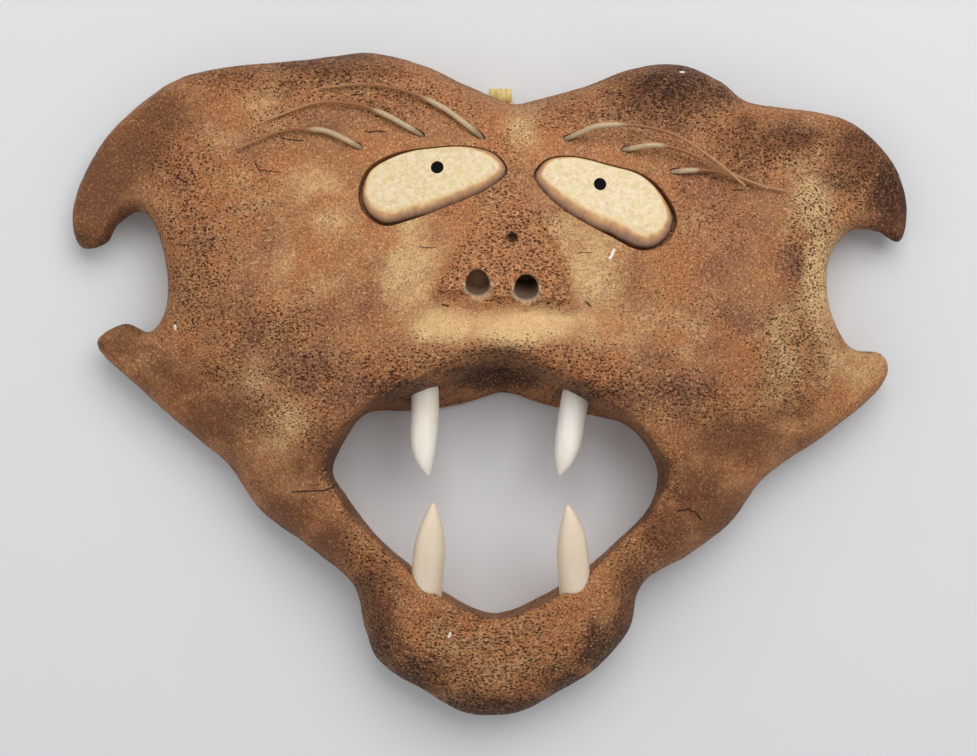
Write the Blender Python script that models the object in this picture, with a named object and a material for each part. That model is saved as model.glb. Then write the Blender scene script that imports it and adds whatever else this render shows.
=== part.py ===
"""A spirit mask carved from one whale bone, lying on its flat back and looking up.

X runs across the face, Y up the forehead and Z out of the face. The origin is under the middle of
the mask's box. Places on the face are shares: hundredths of its width from the left and of its
height from the bottom, and heights of the carving are hundredths of its depth.
"""

import math

import bmesh
import bpy
import numpy as np
from mathutils import Matrix, Quaternion, Vector
from mathutils.geometry import delaunay_2d_cdt

# The mask as a whole
MASK_WIDTH = 0.344
MASK_HEIGHT = 0.270
MASK_DEPTH = 0.060

# Rounding of the edges and the lift of the wings' backs
EDGE_ROUND = 0.013
TIP_ROUND = 0.0045
CHIN_ROUND = 0.017
BACK_ROUND = 0.009
LIP_ROUND = 0.006
LIP_DROP = 0.004
MOUTH_BACK_ROUND = 0.004
WING_LIFT = 0.008
FLAT_HALF_WIDTH = 0.075
PALATE_HOLLOW = 0.005
PALATE_HALF_WIDTH = 0.026

# How the rounding changes along the edge: where it starts, in shares of the size, and over what share
TIPS_START, TIPS_SPAN = 0.33, 0.10
CHIN_START, CHIN_SPAN = 0.25, 0.15

# How fast the mouth's wall leaves the lip: below 1 the lip is full
LIP_FULLNESS = 0.75

# The raised nose
NOSE_RISE = 0.0038
NOSE_STEP = 0.0026
NOSE_GROOVE = 0.0012
NOSE_GROOVE_WIDTH = 0.009
NOSTRIL_DIAMETER = 0.0092
LEFT_NOSTRIL_DEPTH = 0.006
RIGHT_NOSTRIL_DEPTH = 0.014
NOSTRIL_TILT = math.radians(35)
NOSE_PIT_DIAMETER = 0.0032
NOSE_PIT_DEPTH = 0.003

# The ivory eyes and their pupils
EYE_POCKET_DEPTH = 0.0058
EYE_PROUD = -0.0004
EYE_TILT = math.radians(2)
EYE_RIM = 0.0007
LEFT_EYE_BEVEL = 0.0058
RIGHT_EYE_BEVEL = 0.0070
EYE_BEVEL_DROP = 0.0042
EYE_BEVEL_START, EYE_BEVEL_SPAN = -0.9, 1.6
EYE_GAP = 0.0011
EYE_CUT_HEIGHT = 0.02
PUPIL_DIAMETER = 0.0044
PUPIL_LENGTH = 0.003
PUPIL_PROUD = 0.0002

# The ivory fangs
UPPER_FANG_DIAMETER = 0.0112
LOWER_FANG_DIAMETER = 0.0128
FANG_TIP_DIAMETER = 0.0012
FANG_STRAIGHT_LENGTH = 0.016

# The whiskers that stand for eyebrows
WHISKER_DIAMETER = 0.0022
WHISKER_THIN_DIAMETER = 0.0015
WHISKER_TIP_DIAMETER = 0.0010
WHISKER_STEP_SHARE = 0.14
WHISKER_ROOT_LENGTH = 0.006
LOW_WHISKER_RISE = 0.0022
WHISKER_RISE = 0.0052
HIGH_WHISKER_RISE = 0.0080
WHISKER_SETTLE = 0.0008
WHISKER_SLOPE = math.radians(45)

# The rawhide hanging loop
LOOP_WIDTH = 0.0094
LOOP_THICKNESS = 0.0015
LOOP_INNER_DIAMETER = 0.0036
LOOP_NECK = 0.0030
LOOP_ROOT_LENGTH = 0.010
LOOP_HEIGHT = 0.0056
LOOP_NECK_STRAIGHT = 0.85 * LOOP_NECK
LOOP_TURN_START = math.radians(-50)

# Clearances between pieces
INLAY_CLEARANCE = 0.0003
SOCKET_CLEARANCE = 0.0004

# Spacing of the mesh
OUTLINE_STEP = 0.0080
FRONT_STEP = 0.0082
NOSE_GRID_STEP = 0.0045
BACK_STEP = 0.015
WALL_ROWS = 6
SURFACE_STEP = 0.006
FANG_SIDES = 14
WHISKER_SIDES = 6
BORE_SIDES = 20
HOLE_SIDES = 10
LOOP_PARTS = 8

# Where the rounded rim lies between the back and the front
RIM_SHARE = 0.42

# The outline, once round from the notch over the nose, the wearer's right side first
OUTLINE = [
    # notch and left lobe
    (52.9, 92.3), (47.7, 94.8), (42.4, 98.0), (36.2, 100.0), (27.7, 99.1), (19.3, 98.2), (13.3, 96.5),
    # left hook
    (8.5, 92.6), (4.0, 87.1), (0.9, 80.3), (0.0, 74.7), (1.2, 70.7), (4.2, 71.3), (5.7, 74.3), (8.4, 76.2),
    # left notch and lower point
    (10.3, 73.8), (11.9, 65.9), (11.4, 60.5), (9.7, 57.9), (6.8, 59.2), (3.2, 56.4),
    # left jaw
    (8.4, 49.1), (14.3, 42.5), (18.8, 37.6), (22.9, 30.5), (29.6, 24.2), (33.7, 19.6), (35.1, 13.0),
    (36.7, 8.2),
    # chin
    (42.9, 3.0), (47.1, 0.2), (53.0, 0.2), (58.1, 3.4), (62.8, 7.2), (66.5, 12.8), (68.0, 19.6),
    # right jaw and lower point
    (73.8, 24.2), (78.4, 28.7), (82.3, 35.3), (89.6, 42.0), (96.2, 49.1), (97.4, 52.4), (96.4, 54.7),
    (92.5, 55.7),
    # right notch
    (89.8, 62.6), (90.2, 69.3), (93.0, 73.2),
    # right hook
    (96.1, 73.1), (98.8, 71.6), (99.9, 76.5), (98.3, 83.5), (92.7, 89.9), (86.7, 91.7),
    # right lobe
    (80.3, 92.9), (77.0, 96.0), (72.3, 98.3), (67.6, 97.9), (60.5, 94.7), (54.7, 92.7),
]  # fmt: skip

# The front edge of the mouth and its back edge, point for point
LIP = [
    (31.4, 37.7), (33.1, 43.2), (36.5, 47.2), (41.6, 50.4), (46.7, 53.4), (51.5, 54.8), (56.7, 52.2),
    (62.4, 48.0), (67.6, 43.0), (70.3, 37.4), (68.6, 31.8), (64.9, 26.7), (59.7, 20.7), (55.7, 17.6),
    (50.3, 15.9), (44.5, 18.8), (40.2, 23.4), (35.7, 28.7), (32.7, 33.4),
]  # fmt: skip
MOUTH_BACK = [
    (31.1, 36.3), (32.6, 41.3), (35.1, 45.3), (40.4, 45.8), (46.4, 46.7), (51.6, 48.6), (56.7, 46.7),
    (61.6, 45.2), (66.7, 43.3), (70.0, 36.9), (69.1, 31.1), (65.1, 25.7), (60.9, 21.1), (56.1, 17.3),
    (50.3, 14.8), (44.8, 17.8), (40.3, 22.2), (35.9, 27.4), (32.7, 32.9),
]  # fmt: skip

# Above this place the mouth's wall is hollowed
PALATE = (51.5, 45.0)

# How high the front stands: across, up, height
FRONT = [
    # down the middle
    (52.5, 91, 68), (52.5, 82, 84), (52.3, 70, 92), (51.7, 60, 94), (51.5, 55, 96),
    # eyes and brows
    (43.5, 79, 84), (35, 77, 79), (63, 77, 83), (71, 73, 80), (42, 92, 72), (62, 91, 70),
    # left lobe, wing and hook
    (36, 97, 64), (27, 93, 60), (17, 92, 52), (9, 85, 42), (3, 75, 30), (20, 79, 64), (13, 67, 60),
    # left cheek and lower point
    (25, 66, 77), (36, 62, 86), (22, 54, 72), (11, 55, 48), (4, 56, 36), (18, 43, 50), (29, 43, 74),
    # jaw and chin
    (25, 33, 54), (32, 25, 62), (38, 15, 64), (50.5, 8, 68), (64, 15, 63), (70, 26, 61), (78, 35, 56),
    # right cheek and lower point
    (73, 43, 74), (83, 43, 54), (91, 51, 48), (96, 52, 37), (80, 56, 75), (67, 60, 86), (77, 66, 78),
    # right lobe, wing and hook
    (89, 66, 60), (82, 79, 64), (91, 84, 44), (97, 76, 30), (83, 91, 53), (72, 95, 63),
]  # fmt: skip

NOSE = [
    (52.5, 77.6), (49.7, 74.5), (46.4, 69.4), (44.1, 64.6), (43.9, 62.9), (46.8, 62.3), (51.1, 61.6),
    (55.8, 61.3), (59.0, 61.2), (59.1, 63.5), (57.6, 69.4), (55.4, 73.9),
]  # fmt: skip
NOSE_TOP = 78.0
NOSE_BASE = 64.0
NOSTRILS = {
    "nostril_left": ((48.6, 64.0), LEFT_NOSTRIL_DEPTH),
    "nostril_right": ((54.0, 63.4), RIGHT_NOSTRIL_DEPTH),
}
NOSE_PIT = (52.5, 71.0)

LEFT_EYE = [
    (35.0, 77.7), (36.0, 81.2), (39.0, 83.4), (43.3, 84.3), (47.8, 84.5), (50.7, 83.3),
    (51.9, 80.8), (50.0, 78.3), (45.5, 75.7), (41.0, 73.7), (37.9, 72.9), (35.6, 74.9),
]  # fmt: skip
RIGHT_EYE = [
    (54.9, 80.2), (56.3, 82.5), (59.0, 83.1), (63.6, 81.8), (67.5, 80.3), (70.0, 77.4),
    (71.2, 73.7), (69.9, 70.4), (67.2, 69.3), (63.3, 71.5), (59.0, 74.4), (56.0, 77.6),
]  # fmt: skip
LEFT_PUPIL = (44.0, 81.3)
RIGHT_PUPIL = (62.4, 78.9)
LEFT_BEVEL_TOWARDS = math.radians(-72)
RIGHT_BEVEL_TOWARDS = math.radians(-108)
LEFT_GAP_TOWARDS = math.radians(190)
RIGHT_GAP_TOWARDS = math.radians(-35)

# Each fang: where its straight root ends, its tip, its bow to the right, its diameter, its fullness
FANGS = {
    "fang_upper_left": ((42.4, 47.1, 46), (42.8, 36.4, 48), -0.0014, UPPER_FANG_DIAMETER, 4.4),
    "fang_upper_right": ((59.8, 47.1, 46), (58.1, 36.4, 48), 0.0007, UPPER_FANG_DIAMETER, 4.4),
    "fang_lower_left": ((42.9, 23.6, 65), (43.6, 32.8, 83), 0.0, LOWER_FANG_DIAMETER, 2.4),
    "fang_lower_right": ((59.5, 23.6, 65), (58.7, 32.5, 83), 0.0006, LOWER_FANG_DIAMETER, 2.4),
}

# Each whisker: its places from its hole to its tip, its rise, as the right ones cross, and its foot's share
WHISKERS = {
    "whisker_left_1": (
        [(48.3, 86.5), (44.7, 90.0), (40.7, 92.4), (35.8, 93.7), (30.7, 93.4)],
        LOW_WHISKER_RISE,
        0.36,
    ),
    "whisker_left_2": (
        [(41.4, 86.7), (37.4, 89.5), (34.2, 90.8), (30.0, 91.1), (24.3, 88.7)],
        LOW_WHISKER_RISE,
        0.28,
    ),
    "whisker_left_3": (
        [(34.6, 84.8), (31.8, 86.6), (29.8, 87.1), (26.0, 86.9), (21.0, 84.6)],
        LOW_WHISKER_RISE,
        0.38,
    ),
    "whisker_right_1": (
        [(59.1, 85.8), (62.4, 87.1), (66.8, 87.1), (71.1, 85.7), (75.5, 82.1), (78.8, 78.6)],
        HIGH_WHISKER_RISE,
        0.27,
    ),
    "whisker_right_2": (
        [(65.7, 84.1), (69.3, 84.4), (73.1, 83.1), (77.1, 80.6), (81.6, 78.5)],
        WHISKER_RISE,
        0.23,
    ),
    "whisker_right_3": (
        [(71.5, 80.9), (75.0, 81.0), (78.0, 80.1), (80.3, 79.2), (83.8, 78.3)],
        LOW_WHISKER_RISE,
        0.16,
    ),
}

LOOP_PLACE = (51.2, 92.4)


def clear_scene():
    for found in list(bpy.data.objects):
        bpy.data.objects.remove(found, do_unlink=True)


def smooth_loop(points, step=None, parts=None):
    """A closed centripetal Catmull-Rom curve through the points."""
    points = np.asarray(points, float)
    count = len(points)
    samples = []
    for i in range(count):
        before, start, end, after = (points[(i + k) % count] for k in (-1, 0, 1, 2))
        knots = [0.0]
        for low, high in ((before, start), (start, end), (end, after)):
            knots.append(knots[-1] + math.sqrt(np.linalg.norm(high - low)))
        pieces = parts or max(2, round(np.linalg.norm(end - start) / step))
        for k in range(pieces):
            t = knots[1] + (knots[2] - knots[1]) * k / pieces
            first = blend(before, start, knots[0], knots[1], t)
            middle = blend(start, end, knots[1], knots[2], t)
            last = blend(end, after, knots[2], knots[3], t)
            low = blend(first, middle, knots[0], knots[2], t)
            high = blend(middle, last, knots[1], knots[3], t)
            samples.append(blend(low, high, knots[1], knots[2], t))
    return np.array(samples)


def blend(low, high, start, end, t):
    return low + (high - low) * (t - start) / (end - start)


def smooth_step(x):
    x = np.clip(x, 0.0, 1.0)
    return x * x * (3 - 2 * x)


OUTLINE_BOX = (
    smooth_loop(OUTLINE, parts=16).min(axis=0),
    smooth_loop(OUTLINE, parts=16).max(axis=0),
)


def place(shares):
    """Plan places in metres from shares of the width and height."""
    low, high = OUTLINE_BOX
    shares = np.asarray(shares, float)
    return ((shares - low) / (high - low) - 0.5) * (MASK_WIDTH, MASK_HEIGHT)


def distance_to(loop, points):
    """The distance from each point to a closed line."""
    along = np.roll(loop, -1, axis=0) - loop
    square = (along**2).sum(axis=1)
    nearest = np.full(len(points), np.inf)
    for a, d, s in zip(loop, along, square):
        offset = points - a
        share = np.clip((offset @ d) / s, 0, 1)
        nearest = np.minimum(nearest, ((offset - share[:, None] * d) ** 2).sum(axis=1))
    return np.sqrt(nearest)


def inside(loop, points):
    """Which points lie inside a closed line."""
    found = np.zeros(len(points), bool)
    ends = np.roll(loop, -1, axis=0)
    for (ax, ay), (bx, by) in zip(loop, ends):
        if ay == by:
            continue
        crosses = (ay > points[:, 1]) != (by > points[:, 1])
        found ^= crosses & (points[:, 0] < ax + (points[:, 1] - ay) * (bx - ax) / (by - ay))
    return found


def bump(r_square):
    """The bending of a thin plate under a point load."""
    return np.where(r_square > 0, r_square * np.log(np.maximum(r_square, 1e-18)), 0.0)


class ThinPlate:
    """A smooth surface through given heights."""

    def __init__(self, points, heights):
        self.points = points
        count = len(points)
        square = ((points[:, None] - points[None]) ** 2).sum(axis=2)
        flat = np.column_stack([np.ones(count), points])
        system = np.zeros((count + 3, count + 3))
        system[:count, :count] = bump(square)
        system[:count, count:] = flat
        system[count:, :count] = flat.T
        self.weights = np.linalg.solve(system, np.concatenate([heights, np.zeros(3)]))

    def heights(self, points):
        square = ((points[:, None] - self.points[None]) ** 2).sum(axis=2)
        flat = np.column_stack([np.ones(len(points)), points])
        return bump(square) @ self.weights[:-3] + flat @ self.weights[-3:]


FRONT_PLATE = ThinPlate(place([row[:2] for row in FRONT]), np.array([row[2] for row in FRONT]) / 100)
NOSE_LOOP = smooth_loop(place(NOSE), step=0.004)


def broad_front(points):
    """The front before its edges are rounded, with the nose."""
    height = FRONT_PLATE.heights(points) * MASK_DEPTH
    nose_top = place((0, NOSE_TOP))[1]
    nose_base = place((0, NOSE_BASE))[1]
    growth = smooth_step((nose_top - points[:, 1]) / (nose_top - nose_base))
    away = distance_to(NOSE_LOOP, points)
    within = inside(NOSE_LOOP, points)
    raised = np.where(within, smooth_step(away / NOSE_STEP) * NOSE_RISE, 0.0)
    groove = np.where(within, 0.0, np.exp(-((away / NOSE_GROOVE_WIDTH) ** 2)) * NOSE_GROOVE)
    return height + growth * (raised - groove)


def back_height(points):
    """The flat back, whose wings lift off the table."""
    reach = (np.abs(points[:, 0]) - FLAT_HALF_WIDTH) / (MASK_WIDTH / 2 - FLAT_HALF_WIDTH)
    return WING_LIFT * smooth_step(reach)


def edge_round(points):
    """How far in the front edge is rounded: least at the tips of the wings, most on the chin."""
    tips = smooth_step((np.abs(points[:, 0]) / MASK_WIDTH - TIPS_START) / TIPS_SPAN)
    chin = smooth_step((-points[:, 1] / MASK_HEIGHT - CHIN_START) / CHIN_SPAN)
    return EDGE_ROUND + (TIP_ROUND - EDGE_ROUND) * tips + (CHIN_ROUND - EDGE_ROUND) * chin


def back_round(points):
    return BACK_ROUND * edge_round(points) / max(EDGE_ROUND, CHIN_ROUND)


def fall(away, reach):
    """A quarter round: 1 at the edge, 0 from reach inwards."""
    left = np.clip(1 - away / reach, 0, 1)
    return 1 - np.sqrt(1 - left**2)


def front_height(points, outline, lip):
    front = broad_front(points)
    back = back_height(points)
    outer = fall(distance_to(outline, points), edge_round(points)) * (1 - RIM_SHARE) * (front - back)
    inner = fall(distance_to(lip, points), LIP_ROUND) * LIP_DROP
    return front - outer - inner


def under_height(points, outline, mouth):
    front = broad_front(points)
    back = back_height(points)
    outer = fall(distance_to(outline, points), back_round(points)) * RIM_SHARE * (front - back)
    inner = fall(distance_to(mouth, points), MOUTH_BACK_ROUND) * MOUTH_BACK_ROUND
    return back + np.maximum(outer, inner)


def offset_rows(loop, reach, shares, inwards):
    """Rows of points beside a closed line, each a share of the reach away from it."""
    tangent = np.roll(loop, -1, axis=0) - np.roll(loop, 1, axis=0)
    normal = np.column_stack([-tangent[:, 1], tangent[:, 0]])
    normal /= np.linalg.norm(normal, axis=1)[:, None]
    rows = []
    for share in shares:
        row = loop + normal * (inwards * share * reach)[:, None]
        kept = distance_to(loop, row) > 0.96 * np.abs(share * reach)
        rows.append(row[kept])
    return np.concatenate(rows)


def hex_grid(step):
    rows = []
    for j, y in enumerate(np.arange(-MASK_HEIGHT / 2, MASK_HEIGHT / 2, step * math.sqrt(0.75))):
        x = np.arange(-MASK_WIDTH / 2, MASK_WIDTH / 2, step) + (step / 2 if j % 2 else 0)
        rows.append(np.column_stack([x, np.full(len(x), y)]))
    return np.concatenate(rows)


def sheet_faces(outer, hole, free):
    """Triangles between an outer line and the line of a hole, through the free points."""
    points = np.concatenate([outer, hole, free])
    edges = []
    for first, count in ((0, len(outer)), (len(outer), len(hole))):
        edges += [(first + k, first + (k + 1) % count) for k in range(count)]
    found = delaunay_2d_cdt([Vector(p) for p in points], edges, [], 0, 1e-9)
    origin = [sources[0] for sources in found[3]]
    faces = np.array([[origin[k] for k in face] for face in found[2]])
    middle = points[faces].mean(axis=1)
    keep = inside(outer, middle) & ~inside(hole, middle)
    faces = faces[keep]
    a, b, c = (points[faces[:, k]] for k in range(3))
    turned = (b[:, 0] - a[:, 0]) * (c[:, 1] - a[:, 1]) < (b[:, 1] - a[:, 1]) * (c[:, 0] - a[:, 0])
    faces[turned] = faces[turned][:, ::-1]
    return faces


def bone_surface():
    """The whole bone before anything is bored into it."""
    outline = smooth_loop(place(OUTLINE), step=OUTLINE_STEP)
    lip = smooth_loop(place(LIP), parts=3)
    mouth = smooth_loop(place(MOUTH_BACK), parts=3)

    front_free = np.concatenate([
        offset_rows(outline, edge_round(outline), (0.07, 0.28, 0.6), 1),
        offset_rows(lip, np.full(len(lip), LIP_ROUND), (0.2, 0.7), 1),
        offset_rows(NOSE_LOOP, np.full(len(NOSE_LOOP), NOSE_STEP), (0.0, 1.0), turn_of(NOSE_LOOP)),
        offset_rows(NOSE_LOOP, np.full(len(NOSE_LOOP), NOSE_GRID_STEP), (1.0,), -turn_of(NOSE_LOOP)),
    ])
    grid = hex_grid(FRONT_STEP)
    clear = inside(outline, grid) & ~inside(lip, grid) & ~inside(NOSE_LOOP, grid)
    clear &= distance_to(outline, grid) > 0.6 * edge_round(grid) + 0.4 * FRONT_STEP
    clear &= distance_to(lip, grid) > LIP_ROUND
    clear &= distance_to(NOSE_LOOP, grid) > NOSE_GRID_STEP + 0.3 * FRONT_STEP
    fine_grid = hex_grid(NOSE_GRID_STEP)
    on_nose = inside(NOSE_LOOP, fine_grid)
    on_nose &= distance_to(NOSE_LOOP, fine_grid) > 0.4 * NOSE_GRID_STEP + NOSE_STEP
    front_free = np.concatenate([front_free, grid[clear], fine_grid[on_nose]])
    front_free = front_free[inside(outline, front_free) & ~inside(lip, front_free)]

    back_free = np.concatenate([
        offset_rows(outline, back_round(outline), (0.12, 0.6), 1),
        offset_rows(mouth, np.full(len(mouth), MOUTH_BACK_ROUND), (0.3, 1.0), 1),
    ])
    grid = hex_grid(BACK_STEP)
    clear = inside(outline, grid) & ~inside(mouth, grid)
    clear &= distance_to(outline, grid) > back_round(grid) + 0.3 * BACK_STEP
    clear &= distance_to(mouth, grid) > MOUTH_BACK_ROUND + 0.3 * BACK_STEP
    back_free = np.concatenate([back_free, grid[clear]])
    back_free = back_free[inside(outline, back_free) & ~inside(mouth, back_free)]

    def lifted(points, heights):
        return np.column_stack([points, heights])

    rim = lifted(outline, front_height(outline, outline, lip))
    lip_points = lifted(lip, front_height(lip, outline, lip))
    mouth_points = lifted(mouth, under_height(mouth, outline, mouth))
    front_inner = lifted(front_free, front_height(front_free, outline, lip))
    back_inner = lifted(back_free, under_height(back_free, outline, mouth))
    walls = wall_rows(lip_points, mouth_points, WALL_ROWS)

    points = [rim, lip_points, front_inner, *walls, mouth_points, back_inner]
    starts = np.cumsum([0] + [len(block) for block in points])
    front_index = np.arange(starts[0], starts[3])
    back_index = np.concatenate([
        np.arange(starts[0], starts[1]),
        np.arange(starts[-3], starts[-2]),
        np.arange(starts[-2], starts[-1]),
    ])
    faces = [front_index[sheet_faces(outline, lip, front_free)]]
    faces.append(back_index[sheet_faces(outline, mouth, back_free)][:, ::-1])
    rings = [starts[1]] + [starts[3 + k] for k in range(len(walls))] + [starts[-3]]
    for upper, lower in zip(rings, rings[1:]):
        faces.append(ring_faces(upper, lower, len(lip)))
    return np.concatenate(points), np.concatenate(faces)


def wall_rows(top, bottom, rows):
    """The mouth's wall from its front edge to its back edge, hollowed under the middle of the lip."""
    middle, under_lip = place(PALATE)
    result = []
    for k in range(1, rows):
        t = k / rows
        row = top + (bottom - top) * t
        row[:, :2] = top[:, :2] + (bottom - top)[:, :2] * t**LIP_FULLNESS
        near = np.exp(-(((row[:, 0] - middle) / PALATE_HALF_WIDTH) ** 2))
        row[:, 1] += np.where(top[:, 1] > under_lip, near * PALATE_HOLLOW * math.sin(math.pi * t) ** 2, 0.0)
        result.append(row)
    return result


def ring_faces(upper, lower, count):
    faces = []
    for k in range(count):
        n = (k + 1) % count
        faces.append((upper + k, lower + k, lower + n))
        faces.append((upper + k, lower + n, upper + n))
    return np.array(faces)


def mesh_object(name, points, faces, material=None, smooth_angle=50):
    mesh = bpy.data.meshes.new(name)
    mesh.from_pydata([tuple(p) for p in np.asarray(points)], [], [tuple(int(k) for k in f) for f in faces])
    piece = bpy.data.objects.new(name, mesh)
    bpy.context.scene.collection.objects.link(piece)
    work = bmesh.new()
    work.from_mesh(mesh)
    bmesh.ops.recalc_face_normals(work, faces=work.faces)
    work.to_mesh(mesh)
    work.free()
    mesh.shade_smooth()
    mesh.set_sharp_from_angle(angle=math.radians(smooth_angle))
    if material:
        mesh.materials.append(material)
    return piece


def stacked_loops(name, loops, material=None):
    """A closed solid through loops of equal count, from the bottom up, with flat ends."""
    count = len(loops[0])
    faces = [tuple(range(count))[::-1]]
    for k in range(len(loops) - 1):
        for i in range(count):
            n = (i + 1) % count
            faces.append((k * count + i, k * count + n, (k + 1) * count + n, (k + 1) * count + i))
    last = (len(loops) - 1) * count
    faces.append(tuple(range(last, last + count)))
    return mesh_object(name, np.concatenate(loops), faces, material, 35)


def rod(name, middles, radii, sides, material=None):
    """A round solid along a line, with its own radius at each point of the line."""
    middles = [Vector(m) for m in middles]
    across = None
    loops = []
    for i, (middle, radius) in enumerate(zip(middles, radii)):
        ahead = (middles[min(i + 1, len(middles) - 1)] - middles[max(i - 1, 0)]).normalized()
        if across is None:
            across = ahead.orthogonal().normalized()
        across = (across - ahead * across.dot(ahead)).normalized()
        other = ahead.cross(across)
        loops.append(np.array([
            middle + float(radius) * (math.cos(a) * across + math.sin(a) * other)
            for a in np.arange(sides) * 2 * math.pi / sides
        ]))
    return stacked_loops(name, loops, material)


def cut(piece, cutter):
    """Takes the cutter's shape out of the piece."""
    cutter.hide_render = True
    cutter.display_type = "WIRE"
    modifier = piece.modifiers.new(cutter.name, "BOOLEAN")
    modifier.operation = "DIFFERENCE"
    modifier.object = cutter


def inset(loop, widths):
    tangent = np.roll(loop, -1, axis=0) - np.roll(loop, 1, axis=0)
    normal = np.column_stack([-tangent[:, 1], tangent[:, 0]])
    normal /= np.linalg.norm(normal, axis=1)[:, None]
    return loop + normal * turn_of(loop) * np.broadcast_to(widths, len(loop))[:, None]


def turn_of(loop):
    """1 where the line runs anticlockwise, so that its inside is on its left, or else -1."""
    ahead = np.roll(loop, -1, axis=0)
    return 1 if (loop[:, 0] * ahead[:, 1] - loop[:, 1] * ahead[:, 0]).sum() > 0 else -1


def surface_at(point):
    """The height and the outward normal of the front at a plan place."""
    x, y = point
    step = SURFACE_STEP
    around = np.array([(x, y), (x + step, y), (x - step, y), (x, y + step), (x, y - step)])
    z = FRONT_PLATE.heights(around) * MASK_DEPTH
    normal = Vector(((z[2] - z[1]) / (2 * step), (z[4] - z[3]) / (2 * step), 1)).normalized()
    return z[0], normal


class EyePlane:
    """The plane of an eye's face, which leans up a little from the bone around it."""

    def __init__(self, loop):
        self.middle = loop.mean(axis=0)
        height, normal = surface_at(self.middle)
        self.normal = Quaternion((1, 0, 0), -EYE_TILT) @ normal
        self.height = height + EYE_PROUD

    def lift(self, loop, above):
        """Plan points moved onto the plane, then along its normal."""
        slope = np.array([-self.normal.x, -self.normal.y]) / self.normal.z
        z = self.height + (loop - self.middle) @ slope
        return np.column_stack([loop, z]) + np.array(self.normal) * np.reshape(above, (-1, 1))


def eye(name, shares, pupil_share, bevel, bark_towards, outwards, bone, ivory, black):
    """An ivory slice in its pocket: flat face, rounded bark below, a gap outwards, and a plug for a pupil."""
    pocket = smooth_loop(place(shares), parts=3)
    plane = EyePlane(pocket)
    direction = pocket - pocket.mean(axis=0)
    angle = np.arctan2(direction[:, 1], direction[:, 0])
    slab = inset(pocket, INLAY_CLEARANCE + EYE_GAP * smooth_step(np.cos(angle - outwards)))
    share = smooth_step((np.cos(angle - bark_towards) - EYE_BEVEL_START) / EYE_BEVEL_SPAN)
    width = EYE_RIM + (bevel - EYE_RIM) * share
    drop = EYE_RIM + (EYE_BEVEL_DROP - EYE_RIM) * share
    floor = -(EYE_POCKET_DEPTH + EYE_PROUD)
    loops = [plane.lift(slab, floor + INLAY_CLEARANCE), plane.lift(slab, -drop)]
    for turn in (math.radians(30), math.radians(60)):
        loops.append(plane.lift(inset(slab, width * (1 - math.cos(turn))), -drop * (1 - math.sin(turn))))
    loops.append(plane.lift(inset(slab, width), 0.0))
    piece = stacked_loops(name, loops, ivory)
    deep = stacked_loops(name + "_pocket", [plane.lift(pocket, floor), plane.lift(pocket, EYE_CUT_HEIGHT)])
    cut(bone, deep)

    seat = place(pupil_share)
    centre = Vector(plane.lift(seat[None], 0.0)[0])
    ends = (centre - plane.normal * PUPIL_LENGTH, centre + plane.normal * PUPIL_PROUD)
    rod(name.replace("eye", "pupil"), ends, [PUPIL_DIAMETER / 2] * 2, BORE_SIDES, black)
    bore_radius = PUPIL_DIAMETER / 2 + INLAY_CLEARANCE
    ends = (ends[0] - plane.normal * INLAY_CLEARANCE, centre + plane.normal * PUPIL_DIAMETER)
    cut(piece, rod(name + "_pupil_bore", ends, [bore_radius] * 2, BORE_SIDES))


def nostrils(bone):
    """Two round bores that lean up into the nose, and a small pit on its ridge."""
    for name, (share, depth) in NOSTRILS.items():
        x, y = place(share)
        z = broad_front(np.array([[x, y]]))[0]
        inwards = Vector((0, math.sin(NOSTRIL_TILT), -math.cos(NOSTRIL_TILT)))
        mouth = Vector((x, y, z))
        ends = (mouth - inwards * NOSTRIL_DIAMETER, mouth + inwards * depth)
        cut(bone, rod(name, ends, [NOSTRIL_DIAMETER / 2] * 2, BORE_SIDES))
    x, y = place(NOSE_PIT)
    z = broad_front(np.array([[x, y]]))[0]
    radii = [NOSE_PIT_DIAMETER / 4, NOSE_PIT_DIAMETER]
    cut(bone, rod("nose_pit", ((x, y, z - NOSE_PIT_DEPTH), (x, y, z + NOSE_PIT_DEPTH)), radii, HOLE_SIDES))


def solid_place(shares):
    x, y = place(shares[:2])
    return Vector((x, y, shares[2] / 100 * MASK_DEPTH))


def fang(name, root, tip, bow, diameter, fullness, bone, ivory):
    """A curved ivory tooth: a straight root in its socket, then a crown that bows and tapers."""
    root, tip = solid_place(root), solid_place(tip)
    side = (tip - root).cross(Vector((0, 0, 1))).normalized()
    side *= 1 if side.x > 0 else -1
    middles = [root]
    radii = [diameter / 2]
    for t in (0.15, 0.35, 0.52, 0.68, 0.81, 0.91, 0.97, 1.0):
        middles.append(root.lerp(tip, t) + side * bow * math.sin(math.pi * t**1.5))
        radii.append(FANG_TIP_DIAMETER / 2 + (diameter - FANG_TIP_DIAMETER) / 2 * (1 - t**fullness))
    inwards = (middles[0] - middles[1]).normalized()
    end = root + inwards * FANG_STRAIGHT_LENGTH
    rod(name, [end] + middles, [diameter / 2] + radii, FANG_SIDES, ivory)
    bottom = end + inwards * SOCKET_CLEARANCE
    cut(bone, rod(name + "_socket", (bottom, middles[1]), [diameter / 2 + SOCKET_CLEARANCE] * 2, FANG_SIDES))


def whisker_radii(share, foot):
    """Half the thickness along a whisker, which steps down at the end of its stout foot."""
    stout = 1 - smooth_step((share - foot) / WHISKER_STEP_SHARE + 0.5)
    thin = WHISKER_THIN_DIAMETER + (WHISKER_TIP_DIAMETER - WHISKER_THIN_DIAMETER) * share
    return (thin + (WHISKER_DIAMETER - thin) * stout) / 2


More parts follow.
